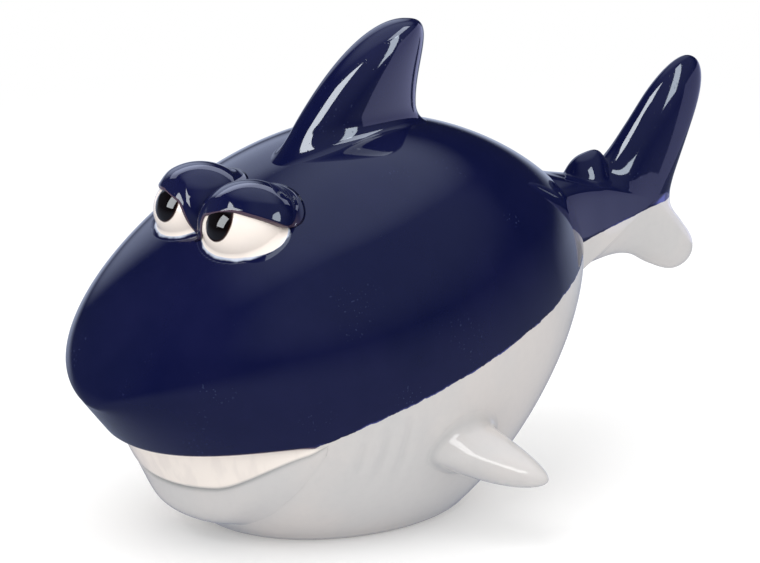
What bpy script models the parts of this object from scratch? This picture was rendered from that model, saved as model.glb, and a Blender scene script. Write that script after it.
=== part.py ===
# Glazed ceramic shark figurine: a hollow cast body on a flat foot, with its fins, tail,
# eyes, eyelids, teeth and lower jaw as separate pieces set on the body.
# Metres, +Z up. The snout points to -Y, the shark's left side is +X, the foot is on Z = 0.
import math

import bmesh
import bpy
import numpy as np
from mathutils import Vector

# Gap between a piece and what it sits on
CLEARANCE = 0.0003

# Body: an ellipsoid whose semi-axes change at five even stations from snout to tail root
SNOUT_Y = -0.0500
BODY_LENGTH = 0.0760
HALF_WIDTH = (0.0258, 0.0255, 0.0246, 0.0225, 0.0164)
HALF_HEIGHT = (0.0071, 0.0192, 0.0283, 0.0245, 0.0179)
MIDDLE_HEIGHT = (0.0199, 0.0216, 0.0214, 0.0266, 0.0295)
CHEEK_LIFT = (0.0001, 0.0048, 0.0044, 0.0017, 0.0012)

# Casting: wall, solid snout in front of the hollow, floor over the foot and vent hole
WALL = 0.0035
SOLID_SNOUT = 0.0140
FLOOR = 0.0040
VENT_RADIUS = 0.0040
VENT_FROM_SNOUT = 0.0378

# Mouth: arcs carried round the snout about an upright line through the lip's centre
LIP_CENTRE_FROM_SNOUT = 0.0265
MOUTH_HALF_ANGLE = math.radians(78)
MOUTH_END_SHARE = 0.95
LIP_HEIGHT = 0.0142
CORNER_HEIGHT = 0.0164
TEETH_LOW = 0.0087
CHIN_HEIGHT = 0.0035
LIP_OVERHANG = 0.0026
TEETH_DEPTH = 0.0014
JAW_DEPTH = 0.0012
JAW_BULGE = 0.0033
POCKET_REACH = 0.0040

# Gill grooves on each cheek
GILL_COUNT = 3
GILL_FROM_SNOUT = 0.0267
GILL_SPACING = 0.0029
GILL_LOW = 0.0108
GILL_HIGH = 0.0186
GILL_RADIUS = 0.0012
GILL_DEPTH = 0.0004

# Upright fins: control points of the front and rear edges as (back, up) pairs from the
# root's middle, running from the sunk root to the rounded tip
DORSAL_FROM_SNOUT = 0.0425
DORSAL_THICKNESS = 0.0068
DORSAL_FRONT_EDGE = ((-0.0140, -0.0041), (-0.0023, 0.0134), (0.0057, 0.0127))
DORSAL_REAR_EDGE = ((0.0110, -0.0041), (0.0041, 0.0023), (0.0142, 0.0127))
DORSAL_TIP = (0.0070, 0.0127)
FIN_FRONT_FULLNESS = 0.3

TAIL_RISE = 0.0020
STALK_LENGTH = 0.0175
STALK_SINK = 0.0070
STALK_HALF_HEIGHT = 0.0066
STALK_HALF_WIDTH = 0.0042
STALK_END_HALF_WIDTH = 0.0027
STALK_FLARE = 0.0024
STALK_FLARE_LENGTH = 0.0140
LOBE_THICKNESS = 0.0060
UPPER_FRONT_EDGE = ((0.0035, 0.0023), (0.0097, 0.0102), (0.0169, 0.0196))
UPPER_REAR_EDGE = ((0.0179, -0.0037), (0.0159, 0.0047), (0.0274, 0.0182))
UPPER_TIP = (0.0221, 0.0188)
LOWER_FRONT_EDGE = ((0.0055, -0.0037), (0.0140, -0.0104), (0.0182, -0.0105))
LOWER_REAR_EDGE = ((0.0175, 0.0023), (0.0165, 0.0004), (0.0275, -0.0105))
LOWER_TIP = (0.0207, -0.0105)

KNOB_FROM_TAIL_ROOT = 0.0040
KNOB_RISE = 0.0045
KNOB_SEMI_AXES = (0.0034, 0.0045, 0.0036)

# Side fins: fat tapered forms that sweep back and droop; pairs are half chord, half thickness
PECTORAL_FROM_SNOUT = 0.0409
PECTORAL_HEIGHT = 0.0124
PECTORAL_SINK = 0.0049
PECTORAL_REACH = 0.0103
PECTORAL_SWEEP = 0.0068
PECTORAL_DROP = 0.0030
PECTORAL_ROOT = (0.0065, 0.0056)
PECTORAL_END = (0.0029, 0.0020)
PECTORAL_TWIST = math.radians(-22)

# Eyes: half sunk in the head, with a lid over the upper part of each
EYE_FROM_SNOUT = 0.0203
EYE_HALF_SPACING = 0.0054
EYE_SUNK = 0.0007
EYE_SEMI_AXES = (0.0058, 0.0054, 0.0048)
PUPIL_OUTWARD = 0.0003
PUPIL_RISE = 0.0016
PUPIL_SUNK = 0.0005
PUPIL_SEMI_AXES = (0.0022, 0.0009, 0.0022)
LID_WALL = 0.0010
LID_SETBACK = 0.0007
LID_EDGE_RISE = 0.0018
LID_SLOPE = math.radians(14)

# Painted edge between navy above and white below: a rise per length from one height, on the
# flank from the mouth's corner and on the tail from its root
FLANK_EDGE_FROM_SNOUT = 0.0202
FLANK_EDGE_SLOPE = 0.250
TAIL_EDGE_BELOW_ROOT = 0.0018
TAIL_EDGE_SLOPE = 0.155

NAVY = (0.0130, 0.0170, 0.0600)
WHITE = (0.690, 0.685, 0.680)
CREAM = (0.880, 0.830, 0.770)
PUPIL_BROWN = (0.012, 0.008, 0.007)
GLAZE_ROUGHNESS = 0.08


def glaze(name, colour):
    """Return a glossy ceramic glaze of one colour."""
    material = bpy.data.materials.new(name)
    material.use_nodes = True
    shader = material.node_tree.nodes["Principled BSDF"]
    shader.inputs["Base Color"].default_value = (*colour, 1)
    shader.inputs["Roughness"].default_value = GLAZE_ROUGHNESS
    shader.inputs["Metallic"].default_value = 0
    return material


def new_collection(name):
    collection = bpy.data.collections.new(name)
    bpy.context.scene.collection.children.link(collection)
    return collection


def add_part(name, parts, mesh, *colours):
    """Link a mesh as a named part with its own smooth glazes."""
    for colour in colours:
        mesh.materials.append(glaze(f"{name}_glaze_{len(mesh.materials) + 1}", colour))
    mesh.shade_smooth()
    mesh.set_sharp_from_angle(angle=math.radians(35))
    part = bpy.data.objects.new(name, mesh)
    parts.objects.link(part)
    return part


def add_cutter(name, cutters, mesh, slot=0):
    """Link a mesh as a hidden shape whose cut faces take a part's glaze of that slot."""
    for face in mesh.polygons:
        face.material_index = slot
    cutter = bpy.data.objects.new(name, mesh)
    cutters.objects.link(cutter)
    cutter.hide_render = True
    cutter.display_type = "WIRE"
    return cutter


def combine(part, other, operation="DIFFERENCE"):
    """Cut a hidden shape from a part, or join it on, with an exact Boolean."""
    change = part.modifiers.new(operation.lower() + "_" + other.name, "BOOLEAN")
    change.operation = operation
    change.object = other
    change.solver = "EXACT"


def to_mesh(name, shape, centre):
    """Move a bmesh shape to its centre and turn it into a named mesh."""
    bmesh.ops.translate(shape, vec=centre, verts=shape.verts)
    mesh = bpy.data.meshes.new(name)
    shape.to_mesh(mesh)
    shape.free()
    return mesh


def ellipsoid(name, centre, semi_axes, segments=26, rings=14):
    shape = bmesh.new()
    bmesh.ops.create_uvsphere(shape, u_segments=segments, v_segments=rings, radius=1)
    bmesh.ops.scale(shape, vec=semi_axes, verts=shape.verts)
    return to_mesh(name, shape, centre)


def box(name, centre, size):
    shape = bmesh.new()
    bmesh.ops.create_cube(shape, size=size)
    return to_mesh(name, shape, centre)


def cylinder(name, centre, radius, length, segments=28):
    shape = bmesh.new()
    bmesh.ops.create_cone(
        shape, cap_ends=True, segments=segments, radius1=radius, radius2=radius, depth=length
    )
    return to_mesh(name, shape, centre)


def loft(name, rings):
    """Return a closed mesh through rings of points, each end closed on the ring's middle."""
    count, sides, _ = rings.shape
    points = np.concatenate([rings.reshape(-1, 3), rings[:1].mean(axis=1), rings[-1:].mean(axis=1)])
    last = (count - 1) * sides
    faces = []
    for j in range(sides):
        k = (j + 1) % sides
        for i in range(0, last, sides):
            faces.append((i + j, i + k, i + sides + k, i + sides + j))
        faces.append((k, j, count * sides))
        faces.append((last + j, last + k, count * sides + 1))
    mesh = bpy.data.meshes.new(name)
    mesh.from_pydata(points.tolist(), [], faces)
    shape = bmesh.new()
    shape.from_mesh(mesh)
    bmesh.ops.recalc_face_normals(shape, faces=shape.faces)
    shape.to_mesh(mesh)
    shape.free()
    return mesh


def full_turn(sides):
    """Angles of evenly spaced points round a section."""
    return np.linspace(0, 2 * math.pi, sides, endpoint=False)


def at_station(values, share):
    """Value at a share of the way from snout to tail root, on a curve through even stations."""
    stations = np.linspace(0, 1, len(values))
    return np.polyval(np.polyfit(stations, values, len(values) - 1), share)


def section(share, grow=0.0):
    """Half width, half height, middle height and cheek lift of the body's sections."""
    swell = np.sin(math.pi * share)
    half_width = (at_station(HALF_WIDTH, share) + grow) * swell
    half_height = (at_station(HALF_HEIGHT, share) + grow) * swell
    return half_width, half_height, at_station(MIDDLE_HEIGHT, share), at_station(CHEEK_LIFT, share) * swell


def body_rings(front, rear, grow=0.0, floor=None, count=40, sides=48):
    """Sections of the body between two places along Y, grown or shrunk, rings x sides x 3."""
    share = np.linspace(0.012, 0.988, count)[:, None]
    turn = full_turn(sides)[None, :]
    half_width, half_height, middle, lift = section(share, grow)
    x = half_width * np.cos(turn)
    y = (front + rear) / 2 - (rear - front) / 2 * np.cos(math.pi * share) + 0 * turn
    z = middle + half_height * np.sin(turn) + lift * np.cos(turn) ** 2
    if floor is not None:
        z = np.maximum(z, floor)
    return np.stack([x, y, z], axis=-1)


def is_inside(point):
    """Whether each point, in an array with x, y and z last, lies inside the uncut body."""
    along = (point[..., 1] - SNOUT_Y) / BODY_LENGTH
    share = np.arccos(np.clip(1 - 2 * along, -1, 1)) / math.pi
    half_width, half_height, middle, lift = section(np.clip(share, 1e-4, 1 - 1e-4))
    across = (point[..., 0] / half_width) ** 2
    upward = (point[..., 2] - middle - lift * across) / half_height
    return (along > 0) & (along < 1) & (across + upward ** 2 < 1)


def skin_distance(origin, direction):
    """Distance from points inside the body to its skin, halving the search each turn."""
    origin, direction = np.broadcast_arrays(np.asarray(origin, float), np.asarray(direction, float))
    near = np.zeros(origin.shape[:-1])
    far = near + BODY_LENGTH
    for _ in range(40):
        middle = (near + far) / 2
        inside = is_inside(origin + direction * middle[..., None])
        near = np.where(inside, middle, near)
        far = np.where(inside, far, middle)
    return near


def top_of_skin(x, y):
    base = at_station(MIDDLE_HEIGHT, 0.5)
    return base + float(skin_distance((x, y, base), (0, 0, 1)))


def side_of_skin(y, z):
    return float(skin_distance((0, y, z), (1, 0, 0)))


def paint_below(mesh, start, slope):
    """Split a mesh's faces along a plane that rises rearward and give those below it slot 1."""
    upward = Vector((0, -slope, 1))
    shape = bmesh.new()
    shape.from_mesh(mesh)
    geometry = [*shape.verts, *shape.edges, *shape.faces]
    bmesh.ops.bisect_plane(shape, geom=geometry, plane_co=start, plane_no=upward)
    for face in shape.faces:
        face.material_index = int((face.calc_center_median() - start).dot(upward) < 0)
    shape.to_mesh(mesh)
    shape.free()


def make_body(parts, cutters):
    """Cast shell with a flat foot, a hollow with a vent hole, a mouth pocket and gill grooves."""
    rear = SNOUT_Y + BODY_LENGTH
    mesh = loft("body", body_rings(SNOUT_Y, rear))
    paint_below(mesh, Vector((0, SNOUT_Y + FLANK_EDGE_FROM_SNOUT, CORNER_HEIGHT)), FLANK_EDGE_SLOPE)
    body = add_part("body", parts, mesh, NAVY, WHITE)
    cuts = {
        "ground": box("ground", (0, SNOUT_Y + BODY_LENGTH / 2, -BODY_LENGTH / 2), BODY_LENGTH),
        "hollow": loft("hollow", body_rings(SNOUT_Y + SOLID_SNOUT, rear - WALL, -WALL, FLOOR, 16, 20)),
        "vent": cylinder("vent", (0, SNOUT_Y + VENT_FROM_SNOUT, FLOOR / 2), VENT_RADIUS, FLOOR * 2),
        "mouth": loft("mouth", mouth_pocket_rings()),
    }
    for side in (-1, 1):
        for index in range(GILL_COUNT):
            cuts[f"gill_{side}_{index}"] = gill(side, index)
    for name, shape in cuts.items():
        combine(body, add_cutter(name + "_cutter", cutters, shape, slot=1))


def gill(side, index, count=9, sides=8):
    """Spindle laid along the cheek, which cuts one shallow upright groove."""
    rise = np.linspace(0, 1, count)
    y = SNOUT_Y + GILL_FROM_SNOUT + GILL_SPACING * index + 0 * rise
    z = GILL_LOW + (GILL_HIGH - GILL_LOW) * rise
    spine = np.stack([0 * rise, y, z], axis=-1)
    spine[:, 0] = side * (skin_distance(spine, (side, 0, 0)) + GILL_RADIUS - GILL_DEPTH)
    radius = GILL_RADIUS * np.sqrt(1 - 0.98 * (2 * rise - 1) ** 2)
    turn = full_turn(sides)
    circle = np.stack([np.cos(turn), np.sin(turn), 0 * turn], axis=-1)
    return loft(f"gill_{side}_{index}", spine[:, None, :] + radius[:, None, None] * circle[None])


def mouth_angles(margin=0.0, count=37):
    """Angles from corner to corner, with one more past each end when there is a margin."""
    angle = np.linspace(-1, 1, count) * MOUTH_HALF_ANGLE * MOUTH_END_SHARE
    if margin:
        angle = np.concatenate([angle[:1] - margin, angle, angle[-1:] + margin])
    return angle[:, None]


def mouth_lines(angle):
    """Heights of the lip, the teeth's lower edge and the chin crease at angles round the snout."""
    turn = np.abs(angle) / MOUTH_HALF_ANGLE
    lip = LIP_HEIGHT + (CORNER_HEIGHT - LIP_HEIGHT) * np.sin(turn * math.pi / 2) ** 2
    teeth_low = TEETH_LOW + (CORNER_HEIGHT - TEETH_LOW) * turn ** 2.6
    chin = CHIN_HEIGHT + (CORNER_HEIGHT - CHIN_HEIGHT) * turn ** 6
    return lip, teeth_low, chin


def lip_radius(angle, height):
    """Distance from the lip's centre line out to the skin."""
    angle, height = np.broadcast_arrays(angle, height)
    origin = np.stack([0 * height, 0 * height + SNOUT_Y + LIP_CENTRE_FROM_SNOUT, height], axis=-1)
    return skin_distance(origin, np.stack([np.sin(angle), -np.cos(angle), 0 * angle], axis=-1))


def round_the_snout(angle, radius, height):
    """Points at radii and heights round the lip's centre line, angles x points x 3."""
    x = radius * np.sin(angle)
    y = SNOUT_Y + LIP_CENTRE_FROM_SNOUT - radius * np.cos(angle)
    return np.stack([x, y, height], axis=-1)


def teeth_face(angle):
    """Radii of the teeth's outer face, at its top under the lip and at its foot."""
    lip, teeth_low, _ = mouth_lines(angle)
    overhang = LIP_OVERHANG * (1 - (angle / MOUTH_HALF_ANGLE) ** 2)
    return lip_radius(angle, lip) - overhang, lip_radius(angle, teeth_low)


def jaw_profile(angle, drop, count=10):
    """Shares and heights down the jaw from the teeth to the chin, closer together at the chin."""
    share = np.sin(np.linspace(0, math.pi / 2, count))[None, :]
    _, teeth_low, chin = mouth_lines(angle)
    top = teeth_low - CLEARANCE / 2
    return share, top + (chin - drop - top) * share


def teeth_rings():
    """Sections of the band of teeth: four corners at each angle."""
    angle = mouth_angles()
    lip, teeth_low, _ = mouth_lines(angle)
    top, foot = teeth_face(angle)
    radius = np.hstack([top, foot, foot - TEETH_DEPTH, top - TEETH_DEPTH])
    high, low = lip - CLEARANCE, teeth_low + CLEARANCE / 2
    return round_the_snout(angle, radius, np.hstack([high, low, low, high]))


def jaw_rings():
    """Sections of the lower jaw: a plate let into the body that swells toward the chin."""
    angle = mouth_angles()
    share, height = jaw_profile(angle, 0.0)
    skin = lip_radius(angle, height)
    fade = np.clip(1 - (angle / MOUTH_HALF_ANGLE) ** 2, 0, 1) ** 1.5
    outer = skin + JAW_BULGE * fade * share ** 1.2 * np.sqrt(1 - share ** 10)
    inner = skin[:, ::-1] - JAW_DEPTH
    return round_the_snout(angle, np.hstack([outer, inner]), np.hstack([height, height[:, ::-1]]))


def mouth_pocket_rings():
    """Sections of the pocket that the teeth and the jaw sit in, open to the outside."""
    angle = mouth_angles(2 * CLEARANCE / LIP_CENTRE_FROM_SNOUT)
    lip, teeth_low, _ = mouth_lines(angle)
    _, height = jaw_profile(angle, CLEARANCE)
    top, foot = teeth_face(angle)
    depth = TEETH_DEPTH + CLEARANCE
    jaw_back = lip_radius(angle, height) - JAW_DEPTH - CLEARANCE
    back = np.hstack([jaw_back[:, ::-1], foot - depth, top - depth])
    back_height = np.hstack([height[:, ::-1], teeth_low - CLEARANCE / 2, lip])
    front_height = np.hstack([lip, height[:, -1:]])
    front = lip_radius(angle, front_height) + POCKET_REACH
    return round_the_snout(angle, np.hstack([front, back]), np.hstack([front_height, back_height]))


def make_mouth(parts):
    """Band of teeth under the lip and the lower jaw below it."""
    add_part("teeth_strip", parts, loft("teeth_strip", teeth_rings()), CREAM)
    add_part("lower_jaw", parts, loft("lower_jaw", jaw_rings()), WHITE)


def edge_points(edge, tip, share):
    """Points on a cubic curve through a fin's edge, from its root to the tip."""
    corners = np.array([*edge, tip])
    share = share[:, None]
    weights = ((1 - share) ** 3, 3 * (1 - share) ** 2 * share, 3 * (1 - share) * share ** 2, share ** 3)
    return sum(weight * corner for weight, corner in zip(weights, corners))


def upright_fin(name, root, front_edge, rear_edge, tip, thickness, grow=0.0, count=18, sides=18):
    """Return an upright fin: rounded sections between its front and rear edges."""
    share = np.linspace(0, 0.985, count)
    front = edge_points(front_edge, tip, share)
    rear = edge_points(rear_edge, tip, share)
    turn = full_turn(sides)
    half_chord = (rear - front) / 2
    half_chord = half_chord * (1 + grow / np.linalg.norm(half_chord, axis=1, keepdims=True))
    along = ((front + rear) / 2)[:, None, :] + half_chord[:, None, :] * np.cos(turn)[None, :, None]
    fullness = np.sin(turn) * (1 - FIN_FRONT_FULLNESS * np.cos(turn))
    across = (thickness / 2 * (1 - share ** 3) + grow)[:, None] * fullness
    rings = np.stack([root[0] + across, root[1] + along[..., 0], root[2] + along[..., 1]], axis=-1)
    return loft(name, rings)


def make_dorsal_fin(parts, seat):
    y = SNOUT_Y + DORSAL_FROM_SNOUT
    root = (0, y, top_of_skin(0, y))
    mesh = upright_fin(
        "dorsal_fin", root, DORSAL_FRONT_EDGE, DORSAL_REAR_EDGE, DORSAL_TIP, DORSAL_THICKNESS
    )
    combine(add_part("dorsal_fin", parts, mesh, NAVY), seat)


def stalk_rings(root, grow=0.0, count=14, sides=20):
    """Sections of the tail's stalk, from its sunk and flared root to its rounded end."""
    share = np.linspace(0, 1, count)[:, None]
    turn = full_turn(sides)[None, :]
    length = STALK_LENGTH + STALK_SINK
    rounding = np.sqrt(1 - 0.99 * share ** 6)
    flare = STALK_FLARE * np.clip(1 - share * length / STALK_FLARE_LENGTH, 0, 1) ** 2
    width = STALK_HALF_WIDTH + (STALK_END_HALF_WIDTH - STALK_HALF_WIDTH) * share
    half_width = width * rounding + flare + grow
    half_height = STALK_HALF_HEIGHT * rounding + flare / 2 + grow
    y = root[1] - STALK_SINK + length * share + 0 * turn
    z = root[2] - flare / 2 + half_height * np.sin(turn)
    return np.stack([half_width * np.cos(turn), y, z], axis=-1)


def make_tail(parts, cutters, seat):
    """Tail of one piece: a stalk with an upper and a lower lobe, white under the painted edge."""
    root = (0, SNOUT_Y + BODY_LENGTH, MIDDLE_HEIGHT[-1] + TAIL_RISE)
    upper = (root, UPPER_FRONT_EDGE, UPPER_REAR_EDGE, UPPER_TIP, LOBE_THICKNESS)
    lower = (root, LOWER_FRONT_EDGE, LOWER_REAR_EDGE, LOWER_TIP, LOBE_THICKNESS)
    edge_start = Vector(root) - Vector((0, 0, TAIL_EDGE_BELOW_ROOT))
    stalk = loft("tail_fin", stalk_rings(root))
    paint_below(stalk, edge_start, TAIL_EDGE_SLOPE)
    tail = add_part("tail_fin", parts, stalk, NAVY, WHITE)
    for name, shape, slot in (("upper_lobe", upper, 0), ("lower_lobe", lower, 1)):
        lobe = upright_fin(name, *shape)
        combine(tail, add_cutter(name, cutters, lobe, slot), "UNION")
    combine(tail, seat)
    make_knob(parts, cutters, seat, root, upper)


def make_knob(parts, cutters, seat, root, upper):
    """Second dorsal fin: a long knob on the stalk, cut to fit body, stalk and upper lobe."""
    centre = (0, root[1] + KNOB_FROM_TAIL_ROOT, root[2] + KNOB_RISE)
    knob = add_part("second_dorsal_fin", parts, ellipsoid("knob", centre, KNOB_SEMI_AXES), NAVY)
    combine(knob, add_cutter("upper_seat", cutters, upright_fin("upper_seat", *upper, CLEARANCE)))
    combine(knob, add_cutter("stalk_seat", cutters, loft("stalk_seat", stalk_rings(root, CLEARANCE))))
    combine(knob, seat)


def make_pectoral_fin(parts, seat, name, side, count=16, sides=20):
    """Fat rounded side fin, swept back and drooping, with its root sunk in the body."""
    y = SNOUT_Y + PECTORAL_FROM_SNOUT
    skin = side_of_skin(y, PECTORAL_HEIGHT)
    start = np.array([skin - PECTORAL_SINK, y, PECTORAL_HEIGHT])
    end = np.array([skin + PECTORAL_REACH, y + PECTORAL_SWEEP, PECTORAL_HEIGHT - PECTORAL_DROP])
    axis = (end - start) / np.linalg.norm(end - start)
    chord = np.array([0, math.cos(PECTORAL_TWIST), math.sin(PECTORAL_TWIST)])
    chord = chord - axis * chord.dot(axis)
    chord = chord / np.linalg.norm(chord)
    share = np.sin(np.linspace(0, math.pi / 2 - 0.05, count))[:, None]
    sizes = np.array(PECTORAL_ROOT) + (np.array(PECTORAL_END) - PECTORAL_ROOT) * share
    half_chord, half_thick = (sizes * np.sqrt(1 - share ** 5)).T[..., None, None]
    turn = full_turn(sides)[None, :, None]
    spine = start + (end - start) * share[:, None]
    rings = spine + half_chord * np.cos(turn) * chord + half_thick * np.sin(turn) * np.cross(axis, chord)
    rings[..., 0] *= side
    combine(add_part(name, parts, loft(name, rings), WHITE), seat)


def make_pupil(cutters, name, side, centre, lid_edge):
    """Dark drop proud of the eyeball's front, facing along its skin and cut off below the lid."""
    axes = np.array(EYE_SEMI_AXES)
    across, rise = side * PUPIL_OUTWARD, PUPIL_RISE
    forward = axes[1] * math.sqrt(1 - (across / axes[0]) ** 2 - (rise / axes[2]) ** 2)
    front = np.array([across, -forward, rise])
    facing = Vector(front / axes ** 2).normalized()
    drop = ellipsoid(name + "_pupil", (0, 0, 0), PUPIL_SEMI_AXES, 18, 10)
    pupil = add_cutter(name + "_pupil", cutters, drop, slot=1)
    pupil.location = Vector(centre + front) - facing * PUPIL_SUNK
    pupil.rotation_euler = Vector((0, -1, 0)).rotation_difference(facing).to_euler()
    size = BODY_LENGTH
    above = add_cutter(name + "_pupil_top", cutters, box(name + "_above", (0, 0, size / 2), size), slot=1)
    above.location = Vector(lid_edge) - Vector((0, 0, CLEARANCE / math.cos(LID_SLOPE)))
    above.rotation_euler = (-LID_SLOPE, 0, 0)
    combine(pupil, above)
    return pupil


def make_eye(parts, cutters, seat, name, side):
    """Eyeball half sunk in the head and the lid over it, both cut flat where the eyes meet."""
    y = SNOUT_Y + EYE_FROM_SNOUT
    centre = np.array([side * EYE_HALF_SPACING, y, top_of_skin(EYE_HALF_SPACING, y) - EYE_SUNK])
    lid_edge = centre + (0, 0, LID_EDGE_RISE)
    socket_axes = np.array(EYE_SEMI_AXES) + CLEARANCE
    size = BODY_LENGTH
    middle = box(name + "_middle", (side * (CLEARANCE / 2 - size / 2), *centre[1:]), size)
    middle_cutter = add_cutter(name + "_middle_cutter", cutters, middle)
    ball = ellipsoid(name + "_eyeball", centre, EYE_SEMI_AXES)
    eyeball = add_part(name + "_eyeball", parts, ball, CREAM, PUPIL_BROWN)
    combine(eyeball, make_pupil(cutters, name, side, centre, lid_edge), "UNION")
    combine(eyeball, seat)
    combine(eyeball, middle_cutter)
    lid_mesh = ellipsoid(name + "_eyelid", centre + (0, LID_SETBACK, 0), socket_axes + LID_WALL)
    lid = add_part(name + "_eyelid", parts, lid_mesh, NAVY)
    socket = ellipsoid(name + "_socket", centre, socket_axes)
    combine(lid, add_cutter(name + "_socket_cutter", cutters, socket))
    under_lid = box(name + "_under_lid", (0, 0, -size / 2), size)
    under_lid = add_cutter(name + "_lid_edge_cutter", cutters, under_lid)
    under_lid.location = lid_edge
    under_lid.rotation_euler = (-LID_SLOPE, 0, 0)
    combine(lid, under_lid)
    combine(lid, seat)
    combine(lid, middle_cutter)


def main():
    for old in list(bpy.data.objects):
        bpy.data.objects.remove(old, do_unlink=True)
    parts = new_collection("shark_figurine")
    cutters = new_collection("cutters")
    make_body(parts, cutters)
    rear = SNOUT_Y + BODY_LENGTH
    seat_rings = body_rings(SNOUT_Y - CLEARANCE, rear + CLEARANCE, CLEARANCE)
    seat = add_cutter("seat_cutter", cutters, loft("seat", seat_rings))
    make_mouth(parts)
    make_dorsal_fin(parts, seat)
    make_tail(parts, cutters, seat)
    for name, side in (("left", 1), ("right", -1)):
        make_pectoral_fin(parts, seat, name + "_pectoral_fin", side)
        make_eye(parts, cutters, seat, name, side)


main()
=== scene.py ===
import math

import bpy
import numpy as np
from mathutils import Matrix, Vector


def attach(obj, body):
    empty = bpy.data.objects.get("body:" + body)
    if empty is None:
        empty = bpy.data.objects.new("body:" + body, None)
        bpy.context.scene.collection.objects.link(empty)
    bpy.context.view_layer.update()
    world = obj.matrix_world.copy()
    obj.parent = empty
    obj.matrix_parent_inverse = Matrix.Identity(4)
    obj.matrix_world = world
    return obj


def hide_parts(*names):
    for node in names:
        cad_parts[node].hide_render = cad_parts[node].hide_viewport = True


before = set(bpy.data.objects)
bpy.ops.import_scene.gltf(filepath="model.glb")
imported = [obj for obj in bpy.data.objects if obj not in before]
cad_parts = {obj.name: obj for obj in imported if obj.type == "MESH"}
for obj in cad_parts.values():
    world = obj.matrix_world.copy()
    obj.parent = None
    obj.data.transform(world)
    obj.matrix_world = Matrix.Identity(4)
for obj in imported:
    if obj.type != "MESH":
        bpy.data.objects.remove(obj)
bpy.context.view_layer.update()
print("frame loaded")

metresPerMm = 0.001  # shapes are worked out in millimetres
fullTurn = 2 * math.pi


def ease(value, low, high):
    # smooth step: 3t^2 - 2t^3 of the share t of the way from low to high
    t = np.clip((value - low) / (high - low), 0, 1)
    return t * t * (3 - 2 * t)


def unit(vectors):
    # each vector over its own length
    return vectors / np.maximum(np.linalg.norm(vectors, axis=-1, keepdims=True), 1e-12)


def ringAngles(columns):
    # even angles round a closed ring, as one row
    return np.linspace(0, fullTurn, columns, endpoint=False)[None, :]


def directionAt(turn, elevation):
    # unit vector at a turn about the upright axis, 0 toward the nose, and an elevation
    return np.stack(np.broadcast_arrays(
        np.sin(turn) * np.cos(elevation), -np.cos(turn) * np.cos(elevation), np.sin(elevation)
    ), axis=-1)


def curveBy(t, start, corner, end):
    # quadratic curve: leaves start toward the corner point and comes to end from there
    return (1 - t) ** 2 * start + 2 * t * (1 - t) * corner + t ** 2 * end


def turningPoint(low, high, holds, steps=30):
    # where a test that holds at low stops holding on the way to high, by halving
    for _ in range(steps):
        middle = (low + high) / 2
        good = holds(middle)
        low, high = np.where(good, middle, low), np.where(good, high, middle)
    return (low + high) / 2


def softUneven(points, scale, seed):
    # hand-made unevenness from -1 to 1: a mean of sines along six fixed directions
    draw = np.random.default_rng(seed)
    directions = unit(draw.normal(size=(6, 3)))
    phases = draw.uniform(0, fullTurn, 6)
    waves = [np.sin(points @ d * fullTurn / scale + p) for d, p in zip(directions, phases)]
    return sum(waves) / len(waves)


def addObject(name, data):
    # an object in the scene for a mesh, a lamp or a camera
    made = bpy.data.objects.new(name, data)
    bpy.context.scene.collection.objects.link(made)
    return made


def makePiece(name, rows, material, nodes, marks=None):
    # closed skin over a grid: rows x columns of points, quads between neighbouring rows,
    # and the first and last row each drawn together into one pole at its own middle
    count, columns, _ = rows.shape
    inner = rows[1:-1].reshape(-1, 3)
    poles = np.stack([rows[0].mean(axis=0), rows[-1].mean(axis=0)])
    points = np.concatenate([inner, poles]) * metresPerMm
    here = np.arange(columns)
    beside = (here + 1) % columns
    start = (np.arange(count - 3) * columns)[:, None]
    below = start + columns
    quads = np.stack([start + here, start + beside, below + beside, below + here], -1)
    quads = quads.reshape(-1, 4)
    last = (count - 3) * columns
    topPole = len(inner)
    fans = np.concatenate([
        np.stack([np.full(columns, topPole), beside, here], -1),
        np.stack([np.full(columns, topPole + 1), last + here, last + beside], -1),
    ])
    a, b, c, d = (points[quads[:, k]] for k in range(4))
    if np.sum(a * (np.cross(b, c) + np.cross(c, d))) < 0:  # the volume, below 0 if inside out
        quads, fans = quads[:, ::-1], fans[:, ::-1]
    mesh = bpy.data.meshes.new(name)
    mesh.vertices.add(len(points))
    mesh.vertices.foreach_set("co", points.ravel())
    mesh.loops.add(quads.size + fans.size)
    mesh.loops.foreach_set("vertex_index", np.concatenate([quads.ravel(), fans.ravel()]))
    mesh.polygons.add(len(quads) + len(fans))
    sides = np.concatenate([np.full(len(quads), 4), np.full(len(fans), 3)])
    mesh.polygons.foreach_set("loop_start", np.concatenate([[0], np.cumsum(sides)[:-1]]))
    mesh.update(calc_edges=True)
    for markName, values in (marks or {}).items():
        values = np.broadcast_to(values, (count, columns))
        flat = np.concatenate([values[1:-1].ravel(), [values[0].mean(), values[-1].mean()]])
        mark = mesh.attributes.new(markName, "FLOAT", "POINT")
        mark.data.foreach_set("value", flat.astype(np.float32))
    mesh.shade_smooth()
    mesh.materials.append(material)
    piece = addObject(name, mesh)
    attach(piece, "root")
    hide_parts(*nodes)
    print("made", name, len(quads) * 2 + len(fans), "triangles")


class Value:
    # a number socket, so that +, -, * and / add Math nodes
    def __init__(self, graph, socket):
        self.graph, self.socket = graph, socket

    def maths(self, operation, first, second):
        return self.graph.node("ShaderNodeMath", {"operation": operation}, {0: first, 1: second})

    def __add__(self, other): return self.maths("ADD", self, other)
    def __radd__(self, other): return self.maths("ADD", other, self)
    def __sub__(self, other): return self.maths("SUBTRACT", self, other)
    def __rsub__(self, other): return self.maths("SUBTRACT", other, self)
    def __mul__(self, other): return self.maths("MULTIPLY", self, other)
    def __rmul__(self, other): return self.maths("MULTIPLY", other, self)
    def __truediv__(self, other): return self.maths("DIVIDE", self, other)
    def __rtruediv__(self, other): return self.maths("DIVIDE", other, self)


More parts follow.
